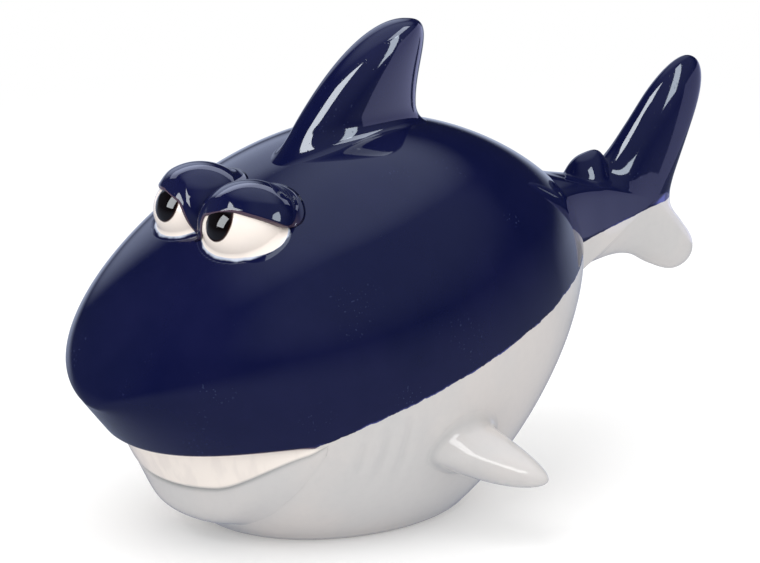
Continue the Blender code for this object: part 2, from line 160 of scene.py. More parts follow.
class Graph:
    # the node tree of a material or a world, emptied, with a method for each way of adding
    def __init__(self, owner):
        owner.use_nodes = True
        self.owner, self.tree = owner, owner.node_tree
        self.tree.nodes.clear()

    def node(self, kind, settings=None, inputs=None, output=0):
        # any node: its type, its settings, then the values or links of its sockets
        made = self.tree.nodes.new(kind)
        for key, value in (settings or {}).items():
            setattr(made, key, value)
        for key, value in (inputs or {}).items():
            if isinstance(value, Value):
                self.tree.links.new(value.socket, made.inputs[key])
            else:
                made.inputs[key].default_value = value
        return Value(self, made.outputs[output]) if made.outputs else made

    def mark(self, name):
        # a piece's own attribute as a number
        return self.node("ShaderNodeAttribute", {"attribute_name": name}, output=2)

    def noise(self, name, place=None):
        # one of the noises, even about 0.5
        scale, detail, roughness = noises[name][:3]
        inputs = {"Vector": place or self.place, "Scale": scale}
        inputs.update({"Detail": detail, "Roughness": roughness})
        return self.node("ShaderNodeTexNoise", None, inputs)

    def step(self, value, low, high):
        # 0 below low, 1 above high, smooth between
        inputs = {"Value": value, "From Min": low, "From Max": high}
        return self.node("ShaderNodeMapRange", {"interpolation_type": "SMOOTHSTEP"}, inputs)

    def pattern(self, name, place=None):
        # a noise that is 0 below its start and 1 above where it is full
        return self.step(self.noise(name, place), *noises[name][3:])

    def mix(self, share, first, second):
        # colour that goes from first to second
        inputs = {0: share, 6: first, 7: second}
        for key in (6, 7):
            if isinstance(inputs[key], tuple):
                inputs[key] = (*inputs[key], 1)
        return self.node("ShaderNodeMix", {"data_type": "RGBA"}, inputs, output=2)

    def tint(self, share, first, second):
        # first multiplied by the second colour, as far as share says
        settings = {"data_type": "RGBA", "blend_type": "MULTIPLY"}
        inputs = {0: share, 6: first, 7: (*second, 1)}
        return self.node("ShaderNodeMix", settings, inputs, output=2)


def srgb(red, green, blue):
    # linear colour of a 0 to 255 screen colour
    values = [v / 255 for v in (red, green, blue)]
    return tuple(v / 12.92 if v <= 0.04045 else ((v + 0.055) / 1.055) ** 2.4 for v in values)


glazeLook = {
    "navyDeep": srgb(11, 16, 54),
    "navyWarm": srgb(20, 23, 61),
    "navyThin": srgb(82, 88, 160),
    "navySpeck": srgb(70, 80, 118),
    "white": srgb(216, 211, 208),
    "whiteCool": srgb(208, 206, 205),
    # grey of the painted shade in creases
    "creaseShadeGrey": srgb(158, 160, 162),
    "teeth": srgb(248, 239, 231),
    "teethStroke": srgb(232, 223, 217),
    "eyeWhite": srgb(252, 241, 232),
    "eyeCool": srgb(196, 206, 226),
    "pupil": srgb(9, 5, 6),
    "pupilRim": srgb(48, 24, 16),
    "bisque": srgb(214, 205, 192),
    # pinkish grey of the lids' painted edge line and of the painted reflection of the teeth round
    # the lip
    "edgeTintAndReflection": srgb(122, 98, 104),
    "roughness": 0.045,
    "bisqueRoughness": 0.75,
    "navyMottle": ((0.72, 0.76, 0.86), 0.35),
    "whiteGrain": ((0.94, 0.94, 0.95), 0.30),
    "bisqueGrit": ((0.78, 0.74, 0.70), 0.5),
    "ripple": 0.03,
    "pinhole": 0.012,
    "bump": 0.35,
    "ior": 1.5,
}
# waves a metre, detail and roughness, then where a pattern starts and where it is full
noises = {
    "ripples": (260.0, 1.5, 0.5),
    "pinholes": (2600.0, 1.0, 0.5, 0.70, 0.78),
    "navyClouds": (38.0, 3.0, 0.55, 0.38, 0.66),
    "navyMottle": (420.0, 4.0, 0.6, 0.35, 0.70),
    "speckAreas": (130.0, 1.0, 0.5, 0.58, 0.70),
    "specks": (2900.0, 0.0, 0.5, 0.73, 0.79),
    "whiteClouds": (60.0, 3.0, 0.5, 0.36, 0.64),
    "whiteGrain": (900.0, 3.0, 0.6, 0.40, 0.72),
    "thinAreas": (210.0, 2.0, 0.5, 0.42, 0.62),
    "haloAreas": (260.0, 2.0, 0.5, 0.25, 0.6),
    "teethStrokes": (520.0, 2.0, 0.5, 0.46, 0.66),
    "creamAreas": (240.0, 2.0, 0.5, 0.35, 0.65),
    "brushStrokes": (330.0, 2.0, 0.6),
    "brushHairs": (1100.0, 3.0, 0.6),
    "grit": (1800.0, 3.0, 0.7),
    "pupilWobble": (700.0, 2.0, 0.5),
    "whiteWobble": (480.0, 2.0, 0.5),
}


def newMaterial(name):
    # the graph of an empty material, with the object's own coordinates
    graph = Graph(bpy.data.materials.new(name))
    graph.place = graph.node("ShaderNodeTexCoord", output="Object")
    return graph


def finishGlaze(graph, colour, relief=None, roughness=glazeLook["roughness"]):
    # gloss over a colour, with a bump of slow glaze ripples and fine pinholes
    look = glazeLook
    height = graph.noise("ripples") * look["ripple"]
    height = height - graph.pattern("pinholes") * look["pinhole"]
    if relief is not None:
        height = height + relief
    bump = {"Strength": look["bump"], "Distance": metresPerMm, "Height": height}
    gloss = {"Base Color": colour, "Roughness": roughness, "IOR": look["ior"]}
    gloss["Normal"] = graph.node("ShaderNodeBump", None, bump)
    shader = graph.node("ShaderNodeBsdfPrincipled", None, gloss)
    graph.node("ShaderNodeOutputMaterial", None, {"Surface": shader})
    return graph.owner


def navyColour(graph):
    # deep blue that drifts to a warmer blue in broad clouds, with sparse pale specks
    clouds = graph.pattern("navyClouds")
    colour = graph.mix(clouds, glazeLook["navyDeep"], glazeLook["navyWarm"])
    tone, strength = glazeLook["navyMottle"]
    colour = graph.tint(graph.pattern("navyMottle") * strength, colour, tone)
    specks = graph.pattern("specks") * graph.pattern("speckAreas")
    return graph.mix(specks * 0.30, colour, glazeLook["navySpeck"])


def whiteColour(graph, creaseShade):
    # warm white that drifts cooler in clouds, and greyer in creases where the mark creaseShade
    # says: painted shade
    clouds = graph.pattern("whiteClouds")
    colour = graph.mix(clouds, glazeLook["white"], glazeLook["whiteCool"])
    tone, strength = glazeLook["whiteGrain"]
    colour = graph.tint(graph.pattern("whiteGrain") * strength, colour, tone)
    return graph.mix(creaseShade, colour, glazeLook["creaseShadeGrey"])


def eyeWhite(graph):
    # cream that is paler in places
    cream = graph.pattern("creamAreas") * 0.35
    return graph.mix(cream, glazeLook["eyeWhite"], glazeLook["teeth"])


brushForm = {
    # millimetres of coarse and fine raggedness, and of where each band along the edge starts
    # and ends
    "uneven": (0.55, 0.45),
    "edge": (-0.03, 0.05),
    "thinBand": (0.05, 0.34),
    "shoulder": (-0.05, 0.25),
    "navyRelief": 0.03,
    "gritRelief": 0.10,
    "teethRelief": 0.014,
    # the pupil: shares of its outline where its brown rim, its outside and its slope lie
    "pupilWobble": 0.07,
    "pupilRim": (0.88, 0.99),
    "pupilEdge": (0.97, 1.05),
    "pupilSlope": (0.90, 1.04),
    "pupilRelief": 0.025,
    # the eye's white: millimetres past its outline where it is blue and where navy starts
    "whiteWobble": 0.8,
    "blueBand": (-0.55, -0.05),
    "whiteEdge": (-0.12, 0.22),
}


def twoToneGlaze(name):
    # navy above the painted edge and white below it: the mark paintEdge is the height over
    # the edge in millimetres, roughened by noise, and thin navy shows paler along it, in a
    # band that widens with the mark thinPaint
    graph = newMaterial(name)
    height = graph.mark("paintEdge")
    ragged = graph.mark("paintRagged")
    strokes, hairs = graph.noise("brushStrokes") - 0.5, graph.noise("brushHairs") - 0.5
    coarse, fine = brushForm["uneven"]
    edge = height + ragged * (strokes * coarse + hairs * fine)
    navyShare = graph.step(edge, *brushForm["edge"])
    reach = graph.mark("thinPaint")
    thinBand = 1 - graph.step(edge / (reach * 0.9 + 0.3), *brushForm["thinBand"])
    thinBand = thinBand * graph.pattern("thinAreas") * reach
    halo = graph.mark("eyeHalo") * graph.pattern("haloAreas")
    navy = graph.mix(thinBand, navyColour(graph), glazeLook["navyThin"])
    # pinkish grey where the mark edgeTintAndReflection says: a painted reflection of the teeth
    # round the lip
    navy = graph.mix(graph.mark("edgeTintAndReflection"), navy, glazeLook["edgeTintAndReflection"])
    navy = graph.mix(halo, navy, glazeLook["eyeCool"])
    # the white is greyer in creases where the mark creaseShade says: painted shade
    white = whiteColour(graph, graph.mark("creaseShade"))
    colour = graph.mix(navyShare, white, navy)
    bare = graph.mark("bareFoot")
    grit = graph.noise("grit")
    colour = graph.mix(bare, colour, glazeLook["bisque"])
    tone, strength = glazeLook["bisqueGrit"]
    colour = graph.tint(bare * grit * strength, colour, tone)
    rougher = glazeLook["bisqueRoughness"] - glazeLook["roughness"]
    roughness = glazeLook["roughness"] + bare * rougher
    relief = graph.step(edge, *brushForm["shoulder"]) * brushForm["navyRelief"]
    relief = relief + bare * grit * brushForm["gritRelief"]
    return finishGlaze(graph, colour, relief, roughness)


def whiteGlaze(name):
    # plain white, greyer where the mark creaseShade says: painted shade in creases
    graph = newMaterial(name)
    colour = whiteColour(graph, graph.mark("creaseShade"))
    return finishGlaze(graph, colour)


def navyGlaze(name):
    # plain navy, thinner and paler where the mark edgeTintAndReflection says: a pinkish line
    # painted along the lids' edges
    graph = newMaterial(name)
    colour = graph.mix(graph.mark("edgeTintAndReflection"), navyColour(graph), glazeLook["edgeTintAndReflection"])
    return finishGlaze(graph, colour)


def teethGlaze(name):
    # cream with faint slanting brush strokes
    graph = newMaterial(name)
    mapping = {"Vector": graph.place, "Rotation": (0.7, 0.5, 0.4), "Scale": (1.0, 1.0, 0.16)}
    slanted = graph.node("ShaderNodeMapping", None, mapping)
    strokes = graph.pattern("teethStrokes", slanted)
    colour = graph.mix(strokes * 0.45, glazeLook["teeth"], glazeLook["teethStroke"])
    # greyer where the mark creaseShade says: painted shade at the band's foot and under the lip
    colour = graph.mix(graph.mark("creaseShade"), colour, glazeLook["creaseShadeGrey"])
    return finishGlaze(graph, colour, strokes * brushForm["teethRelief"])


def eyeGlaze(name):
    # eye white with a painted pupil: the mark pupilEdge is 1 on the pupil's outline
    graph = newMaterial(name)
    wobble = (graph.noise("pupilWobble") - 0.5) * brushForm["pupilWobble"]
    edge = graph.mark("pupilEdge") + wobble
    # bluer where the mark creaseShade says, a painted shade, which is nothing on the eyeballs
    white = graph.mix(graph.mark("creaseShade"), eyeWhite(graph), glazeLook["eyeCool"])
    rim = graph.step(edge, *brushForm["pupilRim"])
    pupil = graph.mix(rim, glazeLook["pupil"], glazeLook["pupilRim"])
    colour = graph.mix(graph.step(edge, *brushForm["pupilEdge"]), pupil, white)
    relief = (1 - graph.step(edge, *brushForm["pupilSlope"])) * brushForm["pupilRelief"]
    return finishGlaze(graph, colour, relief)


def socketGlaze(name):
    # the eye's white runs out over the head: the mark whiteEdge is the distance in
    # millimetres past the white's outline, which the brush left soft and a little blue
    graph = newMaterial(name)
    wobble = (graph.noise("whiteWobble") - 0.5) * brushForm["whiteWobble"]
    edge = graph.mark("whiteEdge") + wobble
    blue = graph.step(edge, *brushForm["blueBand"])
    white = graph.mix(blue, eyeWhite(graph), glazeLook["eyeCool"])
    colour = graph.mix(graph.step(edge, *brushForm["whiteEdge"]), white, navyColour(graph))
    return finishGlaze(graph, colour)


bodyForm = {
    "snoutY": -50.0,
    "length": 76.0,
    "halfWidth": (25.8, 25.5, 24.6, 22.5, 16.4),
    "halfHeight": (7.1, 19.2, 28.3, 24.5, 17.9),
    "middleHeight": (19.9, 21.6, 21.4, 26.6, 29.5),
    "cheekLift": (0.1, 4.8, 4.4, 1.7, 1.2),
    "wall": 3.5,
    "solidSnout": 14.0,
    "floor": 4.0,
    "ventRadius": 4.0,
    "ventY": -12.2,
    "footRound": 0.8,
    "lumps": 0.08,
    "hollowMiddle": (0.0, -8.0, 24.0),
    # points round the body, then rows down the back and the belly, round the foot's edge, in
    # to the vent, over its edge, up it and over the hollow
    "columns": 388,
    "back": 136,
    "belly": 72,
    "edge": 9,
    "sole": 9,
    "ventEdge": 5,
    "vent": 4,
    "hollow": 14,
}
bodyRear = bodyForm["snoutY"] + bodyForm["length"]
bodySpan = (bodyForm["snoutY"], bodyRear, 0.0)
hollowFront = bodyForm["snoutY"] + bodyForm["solidSnout"]
hollowSpan = (hollowFront, bodyRear - bodyForm["wall"], -bodyForm["wall"])


def alongStations(values, share):
    # the polynomial through values at even stations, read at a share of the length
    stations = np.linspace(0, 1, len(values))
    return np.polyval(np.polyfit(stations, values, len(values) - 1), share)


def insideBody(points, span=bodySpan):
    # true inside an ellipse whose half axes change along the length and swell as a sine
    front, rear, grow = span
    along = (points[..., 1] - front) / (rear - front)
    share = np.arccos(np.clip(1 - 2 * along, -1, 1)) / math.pi
    share = np.clip(share, 1e-4, 1 - 1e-4)
    swell = np.sin(math.pi * share)
    halfWidth = (alongStations(bodyForm["halfWidth"], share) + grow) * swell
    halfHeight = (alongStations(bodyForm["halfHeight"], share) + grow) * swell
    middle = alongStations(bodyForm["middleHeight"], share)
    lift = alongStations(bodyForm["cheekLift"], share) * swell
    across = (points[..., 0] / halfWidth) ** 2
    upward = (points[..., 2] - middle - lift * across) / halfHeight
    return (along > 0) & (along < 1) & (across + upward ** 2 < 1)


def skinReach(origin, direction, span=bodySpan):
    # distance along a direction from an inside point out to the skin
    origin, direction = np.broadcast_arrays(np.array(origin, float), np.array(direction, float))

    def inside(reach):
        return insideBody(origin + direction * reach[..., None], span)

    near = np.zeros(origin.shape[:-1])
    return turningPoint(near, near + bodyForm["length"], inside, 26)


def lumps(points):
    # how far the hand-made skin lies under the true form, from nothing to the full depth
    return bodyForm["lumps"] * (softUneven(points, 13.0, 3) - 1) / 2


def ontoSkin(points, centre, sink=0.0):
    # points moved along rays from a centre until they lie on the skin, less a small depth
    direction = unit(points - centre)
    skin = centre + direction * skinReach(centre, direction)[..., None]
    return skin + direction * (lumps(skin) - sink)[..., None]


def topOfSkin(x, y):
    # height of the skin over a place, sought upward from inside the body
    inside = bodyForm["middleHeight"][2]
    return inside + float(skinReach((x, y, inside), (0, 0, 1)))


def sideOfSkin(y, z):
    # half width of the skin at a place along it and a height
    return float(skinReach((0, y, z), (1, 0, 0)))


mouthForm = {
    "centreY": -23.5,
    "halfAngle": math.radians(78),
    "lip": 14.2,
    "corner": 16.4,
    "teethLow": 8.4,
    "chin": 3.5,
    "overhang": 2.6,
    "teethDepth": 1.4,
    "teethProud": 0.25,
    "jawDepth": 1.2,
    "jawBulge": 3.3,
    "crease": 0.5,
    "lap": 1.3,
    "bandShare": 0.985,
}


def mouthLines(turn):
    # heights of the lip, of the teeth's foot and of the chin crease at an angle round the
    # snout: each goes from its own height in front to the corner's height, the teeth's foot
    # in a long sweep and then steeply beside the cheek
    share = np.clip(np.abs(turn) / mouthForm["halfAngle"], 0, 1)
    corner = mouthForm["corner"]
    lip = mouthForm["lip"] + (corner - mouthForm["lip"]) * np.sin(share * math.pi / 2) ** 2
    climb = 0.5 * share ** 2 + 0.4 * ease(share, 0.42, 0.92) + 0.1 * ease(share, 0.90, 1.0)
    teethLow = mouthForm["teethLow"] + (corner - mouthForm["teethLow"]) * climb
    chin = mouthForm["chin"] + (corner - mouthForm["chin"]) * share ** 6
    return lip, teethLow, chin


def roundSnout(turn, radius, height):
    # points at an angle, a radius and a height about the upright axis behind the lip
    x = radius * np.sin(turn)
    y = mouthForm["centreY"] - radius * np.cos(turn)
    return np.stack(np.broadcast_arrays(x, y, height), axis=-1)


def lipRadius(turn, height):
    # distance of the skin from that axis at an angle and a height
    turn, height = np.broadcast_arrays(turn, height)
    origin = np.stack([0 * height, 0 * height + mouthForm["centreY"], height], axis=-1)
    return skinReach(origin, np.stack([np.sin(turn), -np.cos(turn), 0 * turn], axis=-1))


gillForm = {
    "lines": ((-23.5, 9.8, -23.3, 17.6), (-20.6, 9.2, -20.3, 18.8), (-17.6, 9.2, -17.3, 20.2)),
    "width": 0.75,
    "depth": 0.10,
    "shoulder": 0.12,
}


def gillRelief(points):
    # each gill is a soft groove between raised shoulders along its line, faded at its ends
    relief = np.zeros(points.shape[:-1])
    for lowY, lowZ, highY, highZ in gillForm["lines"]:
        rise = (points[..., 2] - lowZ) / (highZ - lowZ)
        offset = (points[..., 1] - lowY - (highY - lowY) * rise) / gillForm["width"]
        window = ease(rise, -0.15, 0.45) * (1 - ease(rise, 0.60, 1.10))
        groove = -gillForm["depth"] * np.exp(-offset ** 2)
        shoulders = gillForm["shoulder"] * np.exp(-(np.abs(offset) - 1.7) ** 2)
        relief += window * (groove + shoulders)
    return relief


paintForm = {
    "startY": -29.8,
    "rise": 12.0,
    "length": 43.7,
    "bow": 0.88,
    "blend": (math.radians(64), math.radians(86)),
    "ragged": (math.radians(60), math.radians(80)),
    "thin": 0.65,
}


def flankEdge(turn, y):
    # height of the painted edge: the lip in front, then a rise with the bow power of the
    # share of the flank's length behind the corner
    share = np.clip((y - paintForm["startY"]) / paintForm["length"], 0, 1.4)
    behind = ease(np.abs(turn), *paintForm["blend"])
    return mouthLines(turn)[0] + paintForm["rise"] * share ** paintForm["bow"] * behind


eyeForm = {
    "y": -29.7,
    "halfSpacing": 5.4,
    "sunk": 0.7,
    "axes": (5.8, 5.4, 4.8),
    "lidGap": 0.06,
    "lidWall": 1.15,
    "lidEdgeWall": 0.80,
    "lidSetback": 0.7,
    # the lid's edge: height of its peak, where the peak is across, and its fall per length
    # toward the nose and away from it
    "lidPeak": {"left": (2.80, 2.4, 0.34, 0.13), "right": (2.45, 1.0, 0.25, 0.13)},
    # where the curtain beside the nose starts, how fast it falls and how far it reaches
    "curtain": {"left": (-2.7, 2.3, 1.8), "right": (-2.2, 0.5, 4.0)},
    "lidSlope": 0.25,
    "lidArch": 0.043,
    "lidArchAt": -2.0,
    "fold": 0.45,
    "fillet": 1.1,
    "filletRise": 0.22,
    "pupilAcross": {"left": 0.65, "right": -0.15},
    "pupilUp": 1.6,
    "pupilHalf": (2.2, 2.25),
    "pupilHeight": 0.30,
    "socketReach": 1.5,
    "socketRise": 0.9,
    "outerReach": 4.0,
    "whiteWidth": (0.5, 0.9),
    "headCentre": (0.0, -20.0, 20.0),
}
eyeCentre = np.array([
    eyeForm["halfSpacing"], eyeForm["y"],
    topOfSkin(eyeForm["halfSpacing"], eyeForm["y"]) - eyeForm["sunk"],
])


def eyeDistance(points):
    # rough distance in millimetres from the nearer eyeball's surface
    away = points.copy()
    away[..., 0] = np.abs(away[..., 0])
    return (np.linalg.norm((away - eyeCentre) / eyeForm["axes"], axis=-1) - 1) * 5.0


def bodyRows():
    # rows from the top of the back to the lip by elevation, round the lip into the mouth's
    # pocket and out at the chin, down the belly by height, in along the foot to the vent,
    # up the vent and round the hollow to its roof
    form = bodyForm
    turn = np.linspace(-math.pi, math.pi, form["columns"], endpoint=False)[None, :]
    mouthEnd = mouthForm["halfAngle"]
    lip, _, chin = mouthLines(turn)
    past = ease(np.abs(turn), mouthEnd, mouthEnd + 0.7)
    chin = np.minimum(chin, lip - 0.35) - 6.0 * past
    gape = 1 - ease(np.abs(turn), mouthEnd * 0.86, mouthEnd)

    elevation = math.pi / 2 * (1 - np.linspace(0, 1, form["back"])[:, None] ** 0.92)
    direction = directionAt(turn, elevation)
    origin = np.stack([0 * lip, 0 * lip + mouthForm["centreY"], lip], axis=-1)
    upper = origin + direction * skinReach(origin, direction)[..., None]

    over = mouthForm["overhang"] * np.clip(1 - (turn / mouthEnd) ** 2, 0, 1)
    # rows round the lip, up behind it and down to the chin: how deep each lies, its share of
    # the way down where the mouth gapes, and how far it drops
    depths = [0.16, 0.42, 0.85, over + 0.6, over + 1.6, over * 0.6 + 1.75, 1.75, 1.6, 1.5, 1.2]
    depths += [0.55, 0.12, 0.0]
    shares = [0.0, 0.0, 0.0, 0.0, 0.05, 0.2, 0.4, 0.6, 0.8, 0.93, 0.98, 1.0, 1.0]
    drops = [0.16, 0.30, 0.34, 0.22, 0.2, 0.0, 0.0, 0.0, 0.0, 0.0, 0.0, 0.06, 0.30]
    evenShares = np.linspace(0.06, 1.0, len(shares))
    pocket = []
    for depth, share, drop, even in zip(depths, shares, drops, evenShares):
        height = lip - (lip - chin) * (share * gape + even * (1 - gape)) - drop * gape
        pocket.append(roundSnout(turn, lipRadius(turn, height) - depth * gape, height))
    pocket = np.concatenate(pocket)

    chinHeight = pocket[-1:, :, 2]
    down = np.linspace(0, 1, form["belly"])[1:, None] ** 0.8
    footRound = form["footRound"]
    height = chinHeight + (footRound - chinHeight) * down
    lower = roundSnout(turn, lipRadius(turn, height), height)

    def handMade(points, share=1.0):
        # the points moved in or out by the gills and the unevenness
        outward = unit(points - (0, mouthForm["centreY"], 14.0))
        return points + outward * (share * (gillRelief(points) + lumps(points)))[..., None]

    upper, pocket, lower = handMade(upper), handMade(pocket, 1 - gape), handMade(lower)

    high = roundSnout(turn, lipRadius(turn, footRound), footRound)
    low = roundSnout(turn, lipRadius(turn, 0.02), 0.0)
    inset = roundSnout(turn, lipRadius(turn, 0.02) - footRound, 0.0)
    footEdge = curveBy(np.linspace(0, 1, form["edge"])[1:, None, None], high, low, inset)

    def ventRing(radius, z):
        # a circle about the vent's axis
        x, y = radius * np.sin(turn), form["ventY"] - radius * np.cos(turn)
        return np.stack(np.broadcast_arrays(x, y, z), axis=-1)

    ventRadius, floor = form["ventRadius"], form["floor"]
    inward = np.linspace(0, 1, form["sole"])[1:, None, None]
    sole = inset * (1 - inward) + ventRing(ventRadius + 0.5, 0.0) * inward
    angle = np.linspace(0, math.pi / 2, form["ventEdge"])[1:, None]
    ventEdge = ventRing(ventRadius + 0.5 - 0.5 * np.sin(angle), 0.5 - 0.5 * np.cos(angle))
    vent = ventRing(ventRadius, np.linspace(0.5, floor, form["vent"])[1:, None])

    direction = directionAt(turn, np.linspace(-1.25, math.pi / 2, form["hollow"])[:, None])
    middle = np.array(form["hollowMiddle"])
    toFloor = (floor - middle[2]) / np.minimum(direction[..., 2], -1e-3)
    reach = np.minimum(skinReach(middle, direction, hollowSpan), toFloor)
    hollow = middle + direction * reach[..., None]

    rows = np.concatenate([upper, pocket, lower, footEdge, sole, ventEdge, vent, hollow])
    starts = np.cumsum([len(upper), len(pocket), len(lower) + len(footEdge)])
    return turn, rows, gape, starts


def makeBody(material):
    # the body with its marks: height over the painted edge, bare foot, thin glaze, and painted
    # shade in the creases
    turn, rows, gape, (firstPocket, firstLower, firstSole) = bodyRows()
    index = np.arange(len(rows))[:, None]
    paint = rows[..., 2] - flankEdge(turn, rows[..., 1])
    insideMouth = ((index >= firstPocket + 3) & (index < firstLower)) & (gape > 0.02)
    lipBand = (index >= firstPocket - 2) & (index < firstPocket + 3) & (gape > 0.02)
    paint = np.where(lipBand, 0.3 * gape + paint * (1 - gape), paint)
    paint = np.where(insideMouth, paint * (1 - gape) - gape, paint)
    paint = np.where(index >= firstSole, -5.0, paint)
    # pinkish grey on the two rows round the lip's rim: a painted reflection of the teeth
    edgeTintAndReflection = np.where((index >= firstPocket) & (index < firstPocket + 2), gape, 0.0) * 0.9
    inFront = ease(eyeForm["y"] - rows[..., 1], 1.0, 4.5) * (rows[..., 2] > 30)
    # painted shade: greyer in the gill grooves and round the side fins' roots
    creaseShade = 0.08 * ease(-gillRelief(rows), 0.03, gillForm["depth"])
    marks = {
        "paintEdge": paint,
        "paintRagged": ease(np.abs(turn), *paintForm["ragged"]),
        "edgeTintAndReflection": edgeTintAndReflection,
        "bareFoot": np.where(index >= firstSole - 3, 1.0, 0.0),
        "eyeHalo": (1 - ease(eyeDistance(rows), 0.1, 1.0)) * inFront,
        "creaseShade": np.maximum(creaseShade, 0.28 * (1 - ease(pectoralGap(rows), 0.1, 1.0))),
        "thinPaint": paintForm["thin"],
    }
    makePiece("body_shell", rows, material, ["body"], marks)


def closeBand(turn, radius, heights, creaseShade):
    # a band round the snout with the hand-made unevenness, and its marks; each end comes
    # twice, because the outer one is drawn together
    rows = roundSnout(turn, radius, heights)
    rows = roundSnout(turn, radius + lumps(rows), heights)
    doubled = [0, *range(len(rows)), -1]
    return rows[doubled], {"creaseShade": creaseShade[doubled]}


def teethRows():
    # the band's section at each angle round the snout, gone round once: up its outer face
    # from a rounded foot, over under the lip, and down its inner face
    turn = np.linspace(-1, 1, 221)[:, None] * mouthForm["halfAngle"] * mouthForm["bandShare"]
    lip, teethLow, _ = mouthLines(turn)
    inwards = np.clip(1 - (turn / mouthForm["halfAngle"]) ** 2, 0, 1)
    fade = np.sqrt(inwards)
    top = lipRadius(turn, lip) - mouthForm["overhang"] * inwards
    foot = lipRadius(turn, teethLow)
    depth = mouthForm["teethDepth"] * (0.35 + 0.65 * fade)
    tall = np.maximum(lip - teethLow, 0.25)
    share = np.linspace(0, 1, 30)[None, :]
    edge = np.minimum(0.55, tall * 0.4)
    height = teethLow + (tall - 0.15) * share
    bow = mouthForm["teethProud"] * fade * np.sin(math.pi * share) ** 0.7
    rolled = np.clip((height - teethLow) / edge, 0, 1)
    roll = 0.6 * fade * (1 - np.sqrt(np.clip(1 - (1 - rolled) ** 2, 0, 1)))
    outer = foot + (top - foot) * share + bow - roll + 0.12 * fade
    back = share[:, ::-1]
    innerHeight = teethLow + 0.05 + (tall - 0.2) * back
    inner = foot + (top - foot) * back - depth
    radius = np.concatenate([outer, inner], axis=1)
    heights = np.concatenate([height, innerHeight], axis=1)
    nearFoot = np.concatenate([share, back], axis=1) * tall
    # painted shade: greyer at the band's foot and, less, up under the lip
    creaseShade = 0.8 * (1 - ease(nearFoot, 0.05, 0.7))
    creaseShade = np.maximum(creaseShade, 0.5 * ease(nearFoot, tall - 0.5, tall))
    return closeBand(turn, radius, heights, creaseShade)


def jawRows():
    # the jaw's section at each angle: down its outer face, which swells toward the chin and
    # turns under, and back up its inner face
    turn = np.linspace(-1, 1, 241)[:, None] * mouthForm["halfAngle"] * mouthForm["bandShare"]
    _, teethLow, chin = mouthLines(turn)
    chin = np.minimum(chin, teethLow - 0.25)
    share = np.sin(np.linspace(0, math.pi / 2, 54))[None, :]
    height = teethLow + 0.25 + (chin - teethLow - 0.25) * share - mouthForm["lap"] * share ** 6
    skin = lipRadius(turn, height)
    fade = np.clip(1 - (turn / mouthForm["halfAngle"]) ** 2, 0, 1)
    cliff = ease(fade, 0.55, 0.97)
    falloff = np.clip(1 - share ** (3 + 7 * cliff), 0, 1) ** (1.7 - 1.2 * cliff)
    bulge = mouthForm["jawBulge"] * fade ** 1.5 * share ** 1.2 * falloff
    bulge = bulge + 0.02 * (1 - share ** 8) - 0.08 * share ** 10
    low = share * (teethLow - chin)
    fall = (1 - share) * np.maximum(teethLow + 0.25 - chin, 0.3)
    crease = mouthForm["crease"] * np.sqrt(fade) * np.exp(-(low / 0.45) ** 2)
    outer = skin + bulge - crease
    depth = mouthForm["jawDepth"] * (0.3 + 0.7 * np.sqrt(fade)) * (1 - 0.75 * share ** 6)
    inner = (skin - depth)[:, ::-1]
    radius = np.concatenate([outer, inner], axis=1)
    heights = np.concatenate([height, height[:, ::-1]], axis=1)
    # painted shade: greyer under the teeth band and along the chin's fold
    creaseShade = (0.9 * np.exp(-(low / 0.55) ** 2) + 0.3 * np.exp(-(fall / 0.5) ** 2)) * np.sqrt(fade)
    return closeBand(turn, radius, heights, np.concatenate([creaseShade, 0 * creaseShade], axis=1))


finColumns = 168
finLength = 17.0  # of all fins, by which a fillet's height counts as a share
dorsalForm = {
    "y": -7.5,
    "thickness": 6.8,
    "frontEdge": ((-14.0, -4.1), (-2.3, 13.4), (5.7, 12.7)),
    "rearEdge": ((11.0, -4.1), (4.1, 2.3), (14.2, 12.7)),
    "tip": (7.0, 12.7),
    "frontFullness": 0.3,
    "centre": (0.0, -6.0, 26.0),
    "filletRise": 1.4,
    "filletReach": 1.9,
}
pectoralForm = {
    "y": -9.1,
    "z": 12.4,
    "sink": 4.9,
    "reach": 10.25,
    "sweep": 6.8,
    "drop": 3.0,
    "root": (6.5, 5.6),
    "end": (2.9, 2.0),
    "twist": math.radians(-22),
    "underside": 0.48,
    "ridge": 0.60,
    "centre": (0.0, -9.0, 16.0),
    "filletRise": 1.0,
    "filletReach": 1.0,
    "filletBelow": 1.1,
}


def edgeCurve(edge, tip, share):
    # cubic curve through four control points, the last of them the tip
    a, b, c, d = (np.array(corner) for corner in (*edge, tip))
    t = share[..., None]
    return (1 - t) ** 3 * a + 3 * (1 - t) ** 2 * t * b + 3 * (1 - t) * t ** 2 * c + t ** 3 * d


def dorsalPoint(share, turn):
    # rounded section at a share of the height: cosine along the chord, sine across it
    share, turn = np.broadcast_arrays(share, turn)
    front = edgeCurve(dorsalForm["frontEdge"], dorsalForm["tip"], share)
    rear = edgeCurve(dorsalForm["rearEdge"], dorsalForm["tip"], share)
    along = (front + rear) / 2 + (rear - front) / 2 * np.cos(turn)[..., None]
    full = np.sin(turn) * (1 - dorsalForm["frontFullness"] * np.cos(turn))
    across = dorsalForm["thickness"] / 2 * (1 - share ** 3) * full
    y = dorsalForm["y"] + along[..., 0]
    return np.stack([across, y, dorsalTop + along[..., 1]], axis=-1)


dorsalTop = topOfSkin(0, dorsalForm["y"])
pectoralSkin = sideOfSkin(pectoralForm["y"], pectoralForm["z"])


